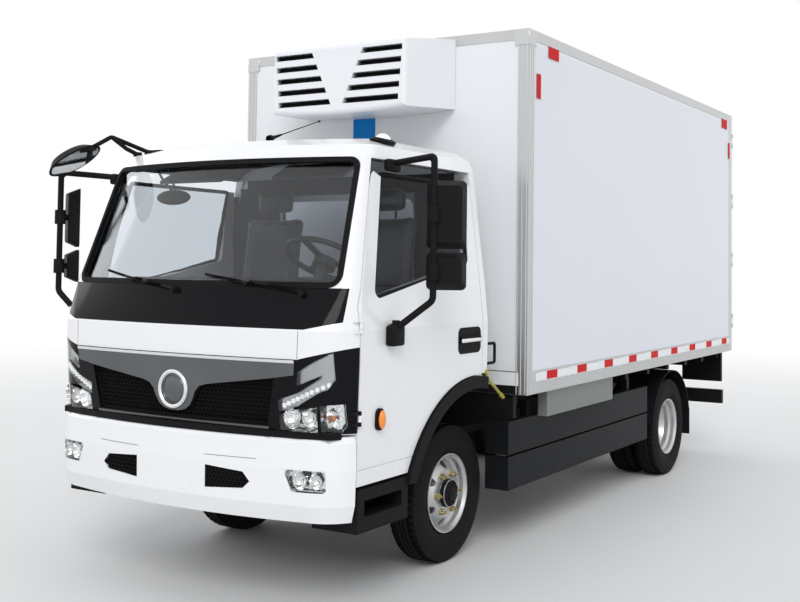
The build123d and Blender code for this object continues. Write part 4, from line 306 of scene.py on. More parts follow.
def surfaceOf(*names):
    verts, faces = [], []
    for name in names:
        mesh = nodes[name].data
        start = len(verts)
        verts += [vert.co.copy() for vert in mesh.vertices]
        faces += [[start + index for index in polygon.vertices] for polygon in mesh.polygons]
    return BVHTree.FromPolygons(verts, faces)


def wrapFront(bm, surface):
    for vert in bm.verts:
        hit = surface.ray_cast(Vector((vert.co.x, -5, vert.co.z)), Vector((0, 1, 0)))[0]
        if hit:
            vert.co.y += hit.y


def skinY(surface, x, z, reach=0.0015):
    hits = [surface.ray_cast(Vector((x + a, -5, z + b)), Vector((0, 1, 0)))[0]
            for a, b in ((0, 0), (reach, 0), (-reach, 0), (0, reach), (0, -reach))]
    hits = [hit.y for hit in hits if hit]
    return min(hits) if hits else surface.find_nearest(Vector((x, -2.88, z)))[0].y


def flatFace(outline, side=1):
    bm = bmesh.new()
    bm.faces.new([bm.verts.new((side * x, 0, z)) for x, z in outline])
    return bm


def sliceUp(bm, step, axis=0):
    values = [vert.co[axis] for vert in bm.verts]
    normal = Vector((axis == 0, 0, axis == 2))
    spot = min(values) + step
    while spot < max(values) - step * 0.2:
        bmesh.ops.bisect_plane(bm, geom=bm.verts[:] + bm.edges[:] + bm.faces[:], plane_co=normal * spot,
                               plane_no=normal)
        spot += step


def seatOn(bm, yAt):
    for vert in bm.verts:
        vert.co.y = yAt(vert.co.x, vert.co.z)


def pushBack(bm, depth):
    raised = bmesh.ops.extrude_face_region(bm, geom=bm.faces[:])["geom"]
    bmesh.ops.translate(bm, vec=(0, depth, 0), verts=vertsIn(raised))


def rimOnly(bm, width):
    bmesh.ops.inset_region(bm, faces=bm.faces[:], use_boundary=True, thickness=width, use_even_offset=True)
    inner = [face for face in bm.faces if not any(edge.is_boundary for edge in face.edges)]
    bmesh.ops.delete(bm, geom=inner, context="FACES")


# A panel cut to an outline, laid on the front skin and given its depth
def frontPanel(outline, step, yAt, depth, side=1, rim=None):
    bm = flatFace(outline, side)
    if rim:
        rimOnly(bm, rim)
    sliceUp(bm, step)
    seatOn(bm, yAt)
    pushBack(bm, depth)
    return bm


# The same without its front face: an open tray
def frontTray(outline, step, yAt, depth, side=1, crossStep=None):
    bm = flatFace(outline, side)
    sliceUp(bm, step)
    if crossStep:
        sliceUp(bm, crossStep, 2)
    seatOn(bm, yAt)
    front = bm.faces[:]
    pushBack(bm, depth)
    bmesh.ops.delete(bm, geom=front, context="FACES")
    return bm


def strip(half, low, high):
    return [(-half, low), (half, low), (half, high), (-half, high)]


def addInto(bm, part):
    mesh = meshFrom(part, "part")
    bm.from_mesh(mesh)
    bpy.data.meshes.remove(mesh)


# profile: distance along the axis, radius
def addSpun(bm, profile, centre, direction, steps=32):
    part = bmesh.new()
    verts = [part.verts.new((radius, 0, along)) for along, radius in profile]
    edges = [part.edges.new(pair) for pair in zip(verts, verts[1:])]
    bmesh.ops.spin(part, geom=verts + edges, cent=(0, 0, 0), axis=(0, 0, 1), dvec=(0, 0, 0), angle=math.tau,
                   steps=steps, use_merge=True)
    bmesh.ops.remove_doubles(part, verts=part.verts, dist=0.00001)
    turn = Vector(direction).to_track_quat("Z", "Y").to_matrix().to_4x4()
    bmesh.ops.transform(part, matrix=Matrix.Translation(centre) @ turn, verts=part.verts)
    addInto(bm, part)


sides = (("left", 1), ("right", -1))
wheelSpots = {
    "front_left": ("front_left_wheel", frontAxle, 1, [0.695]),
    "front_right": ("front_right_wheel", frontAxle, -1, [0.695]),
    "rear_left": ("rear_left_wheels", rearAxle, 1, [0.872, 0.658]),
    "rear_right": ("rear_right_wheels", rearAxle, -1, [0.872, 0.658]),
}

# Tyres
tyreSizes = {
    "sectors": 58, "slotShare": 0.2, "slotDepth": 0.007, "slotEdge": 0.001,
    "halfSection": [
        (0.0550, 0.2033), (0.0623, 0.2163), (0.0700, 0.2235), (0.0735, 0.2250), (0.0760, 0.2330),
        (0.0835, 0.2480), (0.0850, 0.2492), (0.0862, 0.2520), (0.0900, 0.2700), (0.0921, 0.2880),
        (0.0917, 0.3050), (0.0893, 0.3230), (0.0902, 0.3246), (0.0894, 0.3268), (0.0852, 0.3450),
        (0.0812, 0.3580), (0.0800, 0.3640), (0.0745, 0.3705), (0.0690, 0.3750), (0.0620, 0.3765),
        (0.0440, 0.3768), (0.0420, 0.3668), (0.0360, 0.3668), (0.0340, 0.3769),
        (0.0155, 0.3770), (0.0135, 0.3670), (0.0075, 0.3670), (0.0055, 0.3770),
    ],
    "slotFrom": 0.0440, "slotTo": 0.0750,
}


def tyreShape(sizes):
    bm = bmesh.new()
    half = sizes["halfSection"]
    section = half + [(-across, radius) for across, radius in reversed(half)]
    verts = [bm.verts.new((across, 0, radius)) for across, radius in section]
    edges = [bm.edges.new(pair) for pair in zip(verts, verts[1:] + verts[:1])]
    sector = 2 * math.pi / sizes["sectors"]
    lastRing = verts + edges
    for share in (sizes["slotShare"], 1 - sizes["slotShare"]):
        turned = bmesh.ops.spin(bm, geom=lastRing, cent=(0, 0, 0), axis=(1, 0, 0), dvec=(0, 0, 0),
                                angle=sector * share, steps=1)
        lastRing = turned["geom_last"]
        if share == sizes["slotShare"]:
            slots = [face for face in bm.faces
                     if sizes["slotFrom"] - 0.001 < min(abs(v.co.x) for v in face.verts)
                     and max(abs(v.co.x) for v in face.verts) < sizes["slotTo"]
                     and min(Vector(v.co.yz).length for v in face.verts) > 0.369]
            bmesh.ops.inset_region(bm, faces=slots, use_boundary=True, use_even_offset=True,
                                   thickness=sizes["slotEdge"], depth=-sizes["slotDepth"])
    first = bm.verts[:] + bm.edges[:] + bm.faces[:]
    for index in range(1, sizes["sectors"]):
        copied = bmesh.ops.duplicate(bm, geom=first)["geom"]
        bmesh.ops.rotate(bm, verts=vertsIn(copied), cent=(0, 0, 0), matrix=Matrix.Rotation(index * sector, 3, "X"))
    bmesh.ops.remove_doubles(bm, verts=bm.verts, dist=0.0002)
    bmesh.ops.recalc_face_normals(bm, faces=bm.faces)
    return meshFrom(bm, "tyreShape")


oneTyre = tyreShape(tyreSizes)
for spot, (body, axleY, side, stations) in wheelSpots.items():
    bm = bmesh.new()
    for station in stations:
        known = len(bm.verts)
        bm.from_mesh(oneTyre)
        bm.verts.ensure_lookup_table()
        bmesh.ops.translate(bm, vec=(side * station, axleY, axleHeight), verts=bm.verts[known:])
    tyre = keep("tread_" + spot, body, bm, tyreRubber, sharp=40)
    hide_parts("tyre_" + spot)
print("stage: tyres")

# Wheel nuts with washers and studs
nutSizes = {
    "count": 6, "circle": 0.111, "radius": 0.0162, "height": 0.0235, "washer": 0.0205, "stud": 0.0085,
    "studReach": 0.036, "frontFace": 0.761, "rearFace": 0.774,
}


def addNuts(bm, faceX, axleY, side):
    for index in range(nutSizes["count"]):
        angle = index * 2 * math.pi / nutSizes["count"]
        y = axleY + nutSizes["circle"] * math.cos(angle)
        z = axleHeight + nutSizes["circle"] * math.sin(angle)
        start = side * (faceX - 0.002)
        addRod(bm, (start, y, z), (side * (faceX + 0.004), y, z), nutSizes["washer"], nutSizes["washer"] * 0.94, 20)
        addRod(bm, (start, y, z), (side * (faceX + nutSizes["height"] - 0.004), y, z), nutSizes["radius"], None, 6)
        addRod(bm, (side * (faceX + nutSizes["height"] - 0.004), y, z), (side * (faceX + nutSizes["height"]), y, z),
               nutSizes["radius"], nutSizes["radius"] * 0.86, 6)
        addRod(bm, (start, y, z), (side * (faceX + nutSizes["studReach"]), y, z), nutSizes["stud"],
               nutSizes["stud"] * 0.8, 12)


for spot, (body, axleY, side, stations) in wheelSpots.items():
    bm = bmesh.new()
    faceX = nutSizes["frontFace"] if spot.startswith("front") else nutSizes["rearFace"]
    addNuts(bm, faceX, axleY, side)
    keep("nuts_" + spot, body, bm, zincYellow, sharp=28)
print("stage: wheel nuts")

# Grille of six-sided cells
grilleSizes = {"pitch": 0.0235, "wall": 0.0042, "depth": 0.008, "lowZ": 0.888, "topZ": 1.155,
               "lowHalf": 0.552, "topHalf": 0.605, "rimWidth": 0.007, "inset": 0.001}


def cellSheet(halfWidth, lowZ, topZ, pitch, wall):
    bm = bmesh.new()
    radius = pitch / math.sqrt(3)
    rows = int((topZ - lowZ) / (1.5 * radius)) + 2
    columns = int(2 * halfWidth / pitch) + 3
    for row in range(rows):
        for column in range(columns):
            x = -halfWidth - pitch + (column + 0.5 * (row % 2)) * pitch
            z = lowZ + row * 1.5 * radius
            place = Matrix.Translation((x, 0, z)) @ Matrix.Rotation(math.pi / 2, 4, "X")
            place = place @ Matrix.Rotation(math.pi / 6, 4, "Z")
            bmesh.ops.create_circle(bm, cap_ends=True, segments=6, radius=radius, matrix=place)
    bmesh.ops.inset_individual(bm, faces=bm.faces[:], thickness=wall / 2)
    inner = [face for face in bm.faces if len(face.verts) == 6]
    bmesh.ops.delete(bm, geom=inner, context="FACES")
    bmesh.ops.remove_doubles(bm, verts=bm.verts, dist=0.0006)
    return bm


def middleOf(outline):
    return Vector((sum(x for x, z in outline) / len(outline), 0, sum(z for x, z in outline) / len(outline)))


def cutTo(bm, outline):
    middle = middleOf(outline)
    for (ax, az), (bx, bz) in zip(outline, outline[1:] + outline[:1]):
        start, run = Vector((ax, 0, az)), Vector((bx - ax, 0, bz - az))
        normal = Vector((run.z, 0, -run.x)).normalized()
        if (middle - start).dot(normal) > 0:
            normal = -normal
        bmesh.ops.bisect_plane(bm, geom=bm.verts[:] + bm.edges[:] + bm.faces[:], plane_co=start, plane_no=normal,
                               clear_outer=True)


def addRim(bm, outline, width, steps):
    middle = middleOf(outline)
    for (ax, az), (bx, bz) in zip(outline, outline[1:] + outline[:1]):
        start, end = Vector((ax, 0, az)), Vector((bx, 0, bz))
        inward = Vector((end.z - start.z, 0, start.x - end.x)).normalized()
        if (middle - start).dot(inward) < 0:
            inward = -inward
        along = (end - start).normalized() * width
        corners = [start, end, end + inward * width - along, start + inward * width + along]
        face = bm.faces.new([bm.verts.new(corner) for corner in corners])
        long = [edge for edge in face.edges if edge.calc_length() > 3 * width]
        bmesh.ops.subdivide_edges(bm, edges=long, cuts=steps, use_grid_fill=True)


def thicken(bm, depth):
    bmesh.ops.recalc_face_normals(bm, faces=bm.faces)
    for face in bm.faces:
        if face.normal.y > 0:
            face.normal_flip()
    bmesh.ops.solidify(bm, geom=bm.faces[:], thickness=depth)


meshSurface = surfaceOf("grille_mesh")
grilleOutline = [(-grilleSizes["lowHalf"], grilleSizes["lowZ"]), (grilleSizes["lowHalf"], grilleSizes["lowZ"]),
                 (grilleSizes["topHalf"], grilleSizes["topZ"]), (-grilleSizes["topHalf"], grilleSizes["topZ"])]
bm = cellSheet(grilleSizes["topHalf"], grilleSizes["lowZ"], grilleSizes["topZ"], grilleSizes["pitch"],
               grilleSizes["wall"])
grilleOpening = [(x * 0.998, z + (1 if z == grilleSizes["lowZ"] else -1) * grilleSizes["inset"])
                 for x, z in grilleOutline]
cutTo(bm, grilleOpening)
wrapFront(bm, meshSurface)
thicken(bm, grilleSizes["depth"])
cells = keep("grille_cells", "cab", bm, blackPlastic, sharp=25)
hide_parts("grille_mesh")
bm = bmesh.new()
addRim(bm, grilleOpening, grilleSizes["rimWidth"], 24)
wrapFront(bm, meshSurface)
thicken(bm, grilleSizes["depth"] * 1.2)
keep("grille_rim", "cab", bm, blackPlastic, sharp=25)

# Dark wing over the grille, its bright edge, and a plain ring with a domed middle
wingSizes = {
    "half": [(0.712, 1.197), (0.706, 1.128), (0.565, 1.106), (0.36, 1.080), (0.21, 1.060), (0.165, 1.048),
             (0.138, 1.022), (0.122, 0.985), (0.100, 0.950), (0.070, 0.930), (0.030, 0.921)],
    "depth": 0.020, "edgeHeight": 0.014, "ringZ": 1.024, "ringRadius": 0.085, "ringTube": 0.0115, "domeRadius": 0.073,
    "ledgeZ": (0.871, 0.883), "ledgeHalf": 0.56, "gapShadowZ": (0.838, 0.868), "gapShadowHalf": 0.900, "gapShadowProud": 0.0075,
    "back": [(-0.60, 0.868), (0.60, 0.868), (0.62, 1.165), (-0.62, 1.165)], "backDepth": 0.052,
}


def frontY(x, z):
    return -2.986 + 0.0925 * x * x + 0.091 * (1.18 - z)


half = wingSizes["half"]
bm = frontPanel(half + [(-x, z) for x, z in reversed(half)], 0.07, lambda x, z: frontY(x, z) - 0.006,
                wingSizes["depth"])
wing = keep("wing_panel", "cab", bm, wingGrey, sharp=30)
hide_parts("wing_bar")
bm = frontPanel(strip(half[0][0], half[0][1] - wingSizes["edgeHeight"], half[0][1]), 0.07,
                lambda x, z: frontY(x, z) - 0.0095, 0.006)
keep("wing_edge", "cab", bm, chromeBright, sharp=30)
bm = bmesh.new()
ringPlace = (0, frontY(0, wingSizes["ringZ"]) - 0.008, wingSizes["ringZ"])
tube, radius = wingSizes["ringTube"], wingSizes["ringRadius"]
profile = [(-tube * math.sin(step * math.pi / 8), radius + tube * math.cos(step * math.pi / 8)) for step in range(9)]
addSpun(bm, [(0.014, radius + tube)] + profile + [(0.014, radius - tube)], ringPlace, (0, 1, 0), 64)
keep("front_ring", "cab", bm, chromeBright, sharp=40)
bm = bmesh.new()
dome = wingSizes["domeRadius"]
addSpun(bm, [(-0.006, 0), (-0.0055, dome * 0.4), (-0.003, dome * 0.75), (0.003, dome), (0.012, dome * 1.02)],
        ringPlace, (0, 1, 0), 48)
addSpun(bm, [(-0.002, dome * 0.86), (-0.006, dome * 0.90), (-0.002, dome * 0.94)], ringPlace, (0, 1, 0), 48)
keep("front_ring_dome", "cab", bm, wingGrey, sharp=40)
bm = frontPanel(strip(wingSizes["ledgeHalf"], *wingSizes["ledgeZ"]), 0.08, lambda x, z: frontY(x, z) - 0.004, 0.008)
keep("grille_ledge", "cab", bm, wingGrey, sharp=30)
# Black sheet set behind the grille cells: painted shade for the dark space behind the grille.
bm = frontPanel(wingSizes["back"], 0.1, lambda x, z: frontY(x, z) + wingSizes["backDepth"], 0.004)
keep("grille_back_painted_shade", "cab", bm, blackPlastic, sharp=30)
# A black strip over the top of the bumper: painted shadow of the gap between bumper and grille surround.
surroundSurface, bumperSkin = surfaceOf("grille_surround"), surfaceOf("bumper")
bm = frontPanel(strip(wingSizes["gapShadowHalf"], *wingSizes["gapShadowZ"]), 0.03, lambda x, z: min(
    skinY(bumperSkin, x, 0.842), skinY(surroundSurface, x, 0.871)) - wingSizes["gapShadowProud"], 0.017)
keep("bumper_gap_shadow_strip", "cab", bm, blackPlastic, sharp=30)
print("stage: grille and wing")

# Headlamps: clear lenses over buckets with reflectors, a row of small lamps and the turn lamp
lampUnitSizes = {
    "hook": [(0.722, 1.142), (0.880, 1.237), (0.886, 1.110), (0.858, 1.066), (0.820, 1.050), (0.716, 0.985),
             (0.616, 0.955), (0.616, 1.010), (0.716, 1.045), (0.822, 1.112), (0.826, 1.126), (0.716, 1.078)],
    "main": [(0.668, 0.962), (0.716, 0.972), (0.812, 0.984), (0.812, 0.868), (0.618, 0.872), (0.618, 0.938)],
    "turn": [(0.824, 0.992), (0.915, 0.999), (0.920, 0.900), (0.900, 0.862), (0.826, 0.862)],
    "gap": 0.0012, "lens": 0.003, "bucket": 0.048, "track": 0.016, "rowStart": (0.640, 0.985),
    "rowEnd": (0.856, 1.086), "rowCount": 10, "rowBulb": (0.0095, 0.0105),
    "bowls": [(0.682, 0.931, 0.052), (0.768, 0.930, 0.040)], "turnBowl": (0.868, 0.935, 0.036),
}
lampSurface = surfaceOf("headlamps", "grille_surround")
lenses = bmesh.new()
for name, side in sides:
    unit, row, amber, track = bmesh.new(), bmesh.new(), bmesh.new(), bmesh.new()
    for window in ("hook", "main", "turn"):
        outline = lampUnitSizes[window]
        lens = flatFace(outline, side)
        bmesh.ops.inset_region(lens, faces=lens.faces[:], use_boundary=True, thickness=lampUnitSizes["gap"],
                               use_even_offset=True)
        bmesh.ops.delete(lens, geom=[face for face in lens.faces if any(edge.is_boundary for edge in face.edges)],
                         context="FACES")
        sliceUp(lens, 0.025)
        sliceUp(lens, 0.03, 2)
        seatOn(lens, lambda x, z: skinY(lampSurface, x, z))
        pushBack(lens, lampUnitSizes["lens"])
        addInto(lenses, lens)
        depth = lampUnitSizes["track" if window == "hook" else "bucket"]
        bucket = frontTray(outline, 0.025, lambda x, z: skinY(lampSurface, x, z) + 0.005, depth, side, 0.03)
        addInto(track if window == "hook" else unit, bucket)
    for x, z, size in lampUnitSizes["bowls"] + [lampUnitSizes["turnBowl"]]:
        y = skinY(lampSurface, side * x, z)
        profile = [(0.010 + 0.036 * (1 - (step / 6) ** 2), 0.006 + (size - 0.006) * step / 6) for step in range(7)]
        addSpun(unit, profile, (side * x, y, z), (0, 1, 0), 14)
    start, end = (Vector((side * x, 0, z)) for x, z in (lampUnitSizes["rowStart"], lampUnitSizes["rowEnd"]))
    for step in range(lampUnitSizes["rowCount"]):
        spot = start.lerp(end, step / (lampUnitSizes["rowCount"] - 1))
        y = skinY(lampSurface, spot.x, spot.z) + 0.008
        wide, tall = lampUnitSizes["rowBulb"]
        addBlock(row, (spot.x - wide, y, spot.z - tall), (spot.x + wide, y + 0.012, spot.z + tall), 0.003)
    x, z, size = lampUnitSizes["bowls"][0]
    y = skinY(lampSurface, side * x, z)
    addSpun(row, [(0.016, 0), (0.019, 0.006), (0.024, 0.0085), (0.044, 0.0085)], (side * x, y, z), (0, 1, 0), 16)
    x, z, size = lampUnitSizes["turnBowl"]
    y = skinY(lampSurface, side * x, z)
    addSpun(amber, [(0.012, 0), (0.016, 0.008), (0.024, 0.012), (0.032, 0.009), (0.044, 0.006)], (side * x, y, z),
            (0, 1, 0), 16)
    keep("lamp_unit_" + name, "cab", unit, facetChrome, sharp=24, outward=False)
    keep("lamp_track_" + name, "cab", track, satinChrome, sharp=24, outward=False)
    keep("lamp_row_" + name, "cab", row, lampWhite, sharp=30)
    keep("turn_bulb_" + name, "cab", amber, lampAmber, sharp=30)
lens = keep("lamp_lenses", "cab", lenses, lampLens, sharp=30)
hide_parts("headlamps")
print("stage: headlamps")

# Bumper: fog lamps, vent meshes with black sheets behind them painted as shade, grey lines painted as the shade in its
# creases
bumperSizes = {
    "fog": [(0.656, 0.698), (0.858, 0.698), (0.858, 0.598), (0.698, 0.598)], "fogDepth": 0.040, "fogRim": 0.006,
    "fogBowls": [(0.735, 0.648, 0.040), (0.812, 0.648, 0.036)],
    "vent": [(0.224, 0.683), (0.440, 0.673), (0.477, 0.626), (0.440, 0.588), (0.224, 0.578)],
    "ventPitch": 0.0225, "ventWall": 0.0045, "ventDepth": 0.008, "ventShadeSheetSetBack": 0.0125, "ventRim": 0.006,
    "crease": [(0.215, 0.7300), (0.510, 0.7330), (0.510, 0.7355), (0.215, 0.7325)],
}


def bumperY(x, z):
    return -2.995 + 0.12 * x * x


bumperSurface = surfaceOf("bumper", "fog_lamps")
fogGlass = bmesh.new()
for name, side in sides:
    bowl = frontTray(bumperSizes["fog"], 0.025, lambda x, z: skinY(bumperSurface, x, z) + 0.004,
                     bumperSizes["fogDepth"], side)
    for x, z, size in bumperSizes["fogBowls"]:
        y = skinY(bumperSurface, side * x, z)
        profile = [(0.008 + 0.030 * (1 - (step / 5) ** 2), 0.006 + (size - 0.006) * step / 5) for step in range(6)]
        addSpun(bowl, profile, (side * x, y, z), (0, 1, 0), 12)
    keep("fog_unit_" + name, "cab", bowl, facetChrome, sharp=24, outward=False)
    rim = frontPanel(bumperSizes["fog"], 0.025, lambda x, z: skinY(bumperSurface, x, z) - 0.001, 0.008, side,
                     bumperSizes["fogRim"])
    keep("fog_rim_" + name, "cab", rim, chromeBright, sharp=30)
    addInto(fogGlass, frontPanel(bumperSizes["fog"], 0.025, lambda x, z: skinY(bumperSurface, x, z) + 0.001, 0.003,
                                 side))
    net = cellSheet(0.5, 0.57, 0.69, bumperSizes["ventPitch"], bumperSizes["ventWall"])
    cutTo(net, [(side * x, z) for x, z in bumperSizes["vent"]])
    seatOn(net, lambda x, z: bumperY(x, z) + 0.004)
    pushBack(net, bumperSizes["ventDepth"])
    addInto(net, frontPanel(bumperSizes["vent"], 0.05, lambda x, z: bumperY(x, z) + 0.002, 0.012, side,
                            bumperSizes["ventRim"]))
    keep("vent_mesh_" + name, "cab", net, blackPlastic, sharp=25)
    # Black sheet set behind each vent mesh: painted shade for the dark space behind the openings.
    back = frontPanel(bumperSizes["vent"], 0.05, lambda x, z: bumperY(x, z) + bumperSizes["ventShadeSheetSetBack"], 0.002, side)
    keep("vent_shade_back_" + name, "cab", back, blackPlastic, sharp=30)
    # A thin grey strip on each crease: painted shade in the fold.
    crease = frontPanel(bumperSizes["crease"], 0.04, lambda x, z: skinY(bumperSurface, x, z) - 0.0008, 0.003, side)
    keep("bumper_crease_" + name, "cab", crease, seamGreyAndCreaseShade, sharp=30)
glass = keep("fog_lenses", "cab", fogGlass, lampLens, sharp=30)
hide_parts("fog_lamps")
print("stage: bumper")

# Cab: seams, door handles, side markers, grab handle, lock lever, roof lamps, aerial
cabSizes = {
    "seamX": 0.722, "seamZ": (1.203, 1.334), "handleZ": 1.236, "handleY": (-1.846, -1.640), "handleX": 0.962,
    "markerY": -2.600, "markerZ": 0.909, "markerX": 0.957, "grabY": (-1.529, -1.392), "grabZ": (1.090, 1.200),
    "grabX": 0.928, "leverTop": (0.935, -1.535, 1.040), "leverEnd": (0.945, -1.345, 0.905),
    "aerialFoot": (0.12, -2.420, 2.300), "aerialTip": (0.12, -1.995, 2.443),
    "roofLampX": 0.768, "roofLampY": -2.325, "roofLampLean": 10,
}
shellSurface = surfaceOf("cab_shell")
seams = bmesh.new()
for side in (1, -1):
    x = cabSizes["seamX"]
    line = flatFace([(x - 0.0012, cabSizes["seamZ"][0]), (x + 0.0012, cabSizes["seamZ"][0]),
                     (x + 0.0052, cabSizes["seamZ"][1]), (x + 0.0028, cabSizes["seamZ"][1])], side)
    sliceUp(line, 0.03, 2)
    seatOn(line, lambda x, z: skinY(shellSurface, x, z) - 0.0006)
    pushBack(line, 0.003)
    addInto(seams, line)
keep("cab_seams", "cab", seams, seamGreyAndCreaseShade, sharp=30)
for name, side in sides:
    body = name + "_cab_door"
    bm = bmesh.new()
    low, high = cabSizes["handleY"]
    addBlock(bm, (side * cabSizes["handleX"] - 0.006, low, cabSizes["handleZ"] - 0.011),
             (side * cabSizes["handleX"] + 0.006, high, cabSizes["handleZ"] + 0.011), 0.0055, 3)
    bmesh.ops.translate(bm, vec=(side * 0.010, 0, 0), verts=bm.verts)
    keep("door_handle_" + name, body, bm, chromeBright, sharp=40)
    bm = bmesh.new()
    addBall(bm, (0.014, 0.0245, 0.044), Matrix.Translation(
        (side * (cabSizes["markerX"] + 0.014), cabSizes["markerY"], cabSizes["markerZ"])))
    keep("side_marker_" + name, body, bm, lampAmber, sharp=60)
    bm = bmesh.new()
    near, far = cabSizes["grabY"]
    low, high = cabSizes["grabZ"]
    x = side * cabSizes["grabX"]
    addTube(bm, [(x, near, high), (x, far, high), (x, far, low), (x, near, low)], 0.0085, 12, 0.03)
    for z in (low, high):
        addSpun(bm, [(0, 0), (0, 0.020), (0.006, 0.019), (0.008, 0.012)], (x, near - 0.002, z), (0, 1, 0), 20)
    keep("grab_handle_" + name, "cab", bm, blackPlastic, sharp=40)
bm = bmesh.new()
foot, tip = Vector(cabSizes["leverTop"]), Vector(cabSizes["leverEnd"])
addRod(bm, foot, tip, 0.011, 0.008, 12)
addRod(bm, foot + Vector((-0.02, 0, 0.006)), foot + Vector((0.025, 0, 0.006)), 0.017, None, 6)
addRod(bm, tip, tip + (tip - foot).normalized() * 0.035, 0.013, 0.011, 16)
keep("lock_lever", "cab", bm, strapYellow, sharp=40)
bm = bmesh.new()
foot, tip = Vector(cabSizes["aerialFoot"]), Vector(cabSizes["aerialTip"])
run = (tip - foot).normalized()
addSpun(bm, [(-0.02, 0.020), (0, 0.020), (0.010, 0.014), (0.03, 0.009), (0.09, 0.0055), (0.10, 0.003),
             ((tip - foot).length - 0.02, 0.0022), ((tip - foot).length - 0.012, 0.006), ((tip - foot).length, 0.004),
             ((tip - foot).length + 0.002, 0)], foot, run, 14)
keep("aerial", "cab", bm, blackPlastic, sharp=40)
bases, domes = bmesh.new(), bmesh.new()
for side in (1, -1):
    x, y = side * cabSizes["roofLampX"], cabSizes["roofLampY"]
    z = shellSurface.ray_cast(Vector((x, y, 4)), Vector((0, 0, -1)))[0].z
    turn = Matrix.Rotation(side * math.radians(cabSizes["roofLampLean"]), 4, "Y")
    lean = Matrix.Translation((x, y, z + 0.004)) @ turn
    for bm, size in ((bases, (0.050, 0.098, 0.020)), (domes, (0.036, 0.056, 0.040))):
        addBall(bm, size, lean, 14)
keep("roof_lamp_domes", "cab", domes, lampWhite, sharp=60)
base = keep("roof_lamp_bases", "cab", bases, blackPlastic, sharp=60)
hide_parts("roof_fittings")

# Lining of the cab, laid just inside its walls, with visors and the inner mirror
liningSizes = {
    "gap": 0.004, "wall": 0.003,
    "roof": [(-0.80, 0.80, 30), (-2.62, -1.62, 22)], "rear": [(-0.86, 0.86, 34), (0.98, 2.16, 24)],
    "door": [(-2.70, -1.66, 24), (0.80, 1.36, 12)], "fold": 0.05, "visorX": 0.40, "visorHalf": 0.23,
    "visorPlace": (0, -2.40, 2.118), "visorLean": -62, "mirrorPlace": (-0.506, -2.485, 1.995), "armRadius": 0.007,
    "arms": [[(-0.70, -2.42, 2.165), (-0.62, -2.45, 2.09), (-0.51, -2.475, 2.02)],
             [(-0.60, -2.42, 2.165), (-0.55, -2.45, 2.09), (-0.50, -2.475, 2.02)]],
}


# places: rows of points, each thrown along the direction until it meets the wall
def lineInside(surface, places, direction, most):
    bm = bmesh.new()
    grid = []
    for row in places:
        line = []
        for spot in row:
            hit = surface.ray_cast(Vector(spot), Vector(direction), most)[0]
            line.append(bm.verts.new(hit - Vector(direction) * liningSizes["gap"]) if hit else None)
        grid.append(line)
    for rowA, rowB in zip(grid, grid[1:]):
        for a, b, c, d in zip(rowA, rowA[1:], rowB[1:], rowB):
            if a and b and c and d:
                depths = [corner.co.dot(Vector(direction)) for corner in (a, b, c, d)]
                if max(depths) - min(depths) < liningSizes["fold"]:
                    bm.faces.new((a, b, c, d))
    bmesh.ops.delete(bm, geom=[vert for vert in bm.verts if not vert.link_faces], context="VERTS")
    raised = bmesh.ops.extrude_face_region(bm, geom=bm.faces[:])["geom"]
    bmesh.ops.translate(bm, vec=Vector(direction) * -liningSizes["wall"], verts=vertsIn(raised))
    return bm


def evenly(low, high, count):
    return [low + (high - low) * step / (count - 1) for step in range(count)]


xs, ys = evenly(*liningSizes["roof"][0]), evenly(*liningSizes["roof"][1])
bm = lineInside(shellSurface, [[(x, y, 1.95) for x in xs] for y in ys], (0, 0, 1), 0.5)
keep("roof_lining", "cab", bm, liningGrey, sharp=50)
xs, zs = evenly(*liningSizes["rear"][0]), evenly(*liningSizes["rear"][1])
bm = lineInside(shellSurface, [[(x, -1.75, z) for x in xs] for z in zs], (0, 1, 0), 0.24)
keep("rear_lining", "cab", bm, liningGrey, sharp=50)
for name, side in sides:
    ys, zs = evenly(*liningSizes["door"][0]), evenly(*liningSizes["door"][1])
    bm = lineInside(surfaceOf("cab_door_" + name), [[(side * 0.5, y, z) for y in ys] for z in zs], (side, 0, 0), 0.46)
    keep("door_lining_" + name, name + "_cab_door", bm, dashPlastic, sharp=50)
bm = bmesh.new()
for side in (1, -1):
    part = bmesh.new()
    middle, half = side * liningSizes["visorX"], liningSizes["visorHalf"]
    addBlock(part, (middle - half, -0.010, -0.085), (middle + half, 0.010, 0.085), 0.0095, 3)
    bmesh.ops.rotate(part, verts=part.verts, cent=(0, 0, 0),
                     matrix=Matrix.Rotation(math.radians(liningSizes["visorLean"]), 3, "X"))
    bmesh.ops.translate(part, vec=liningSizes["visorPlace"], verts=part.verts)
    addInto(bm, part)
keep("sun_visors", "cab", bm, liningGrey, sharp=50)
bm = bmesh.new()
addBall(bm, (0.125, 0.020, 0.042), Matrix.Translation(liningSizes["mirrorPlace"]))
for arm in liningSizes["arms"]:
    addTube(bm, arm, liningSizes["armRadius"])
keep("inner_mirror", "cab", bm, blackPlastic, sharp=60)

# Rubber round the side windows
sealSizes = {
    "outline": [(-2.100, 1.566), (-2.630, 1.477), (-2.471, 2.084), (-1.664, 2.084), (-1.698, 1.657), (-2.100, 1.566)],
    "radius": 0.0115, "bend": 0.040, "out": 0.003,
}
for name, side in sides:
    glassSurface = surfaceOf("door_glass_" + name)
    route = []
    for y, z in sealSizes["outline"]:
        spot = glassSurface.find_nearest(Vector((side * 0.93, y, z)))[0]
        route.append((spot.x + side * sealSizes["out"], y, z))
    bm = bmesh.new()
    addTube(bm, route, sealSizes["radius"], 12, sealSizes["bend"])
    keep("door_window_seal_" + name, name + "_cab_door", bm, sealRubber, sharp=60)

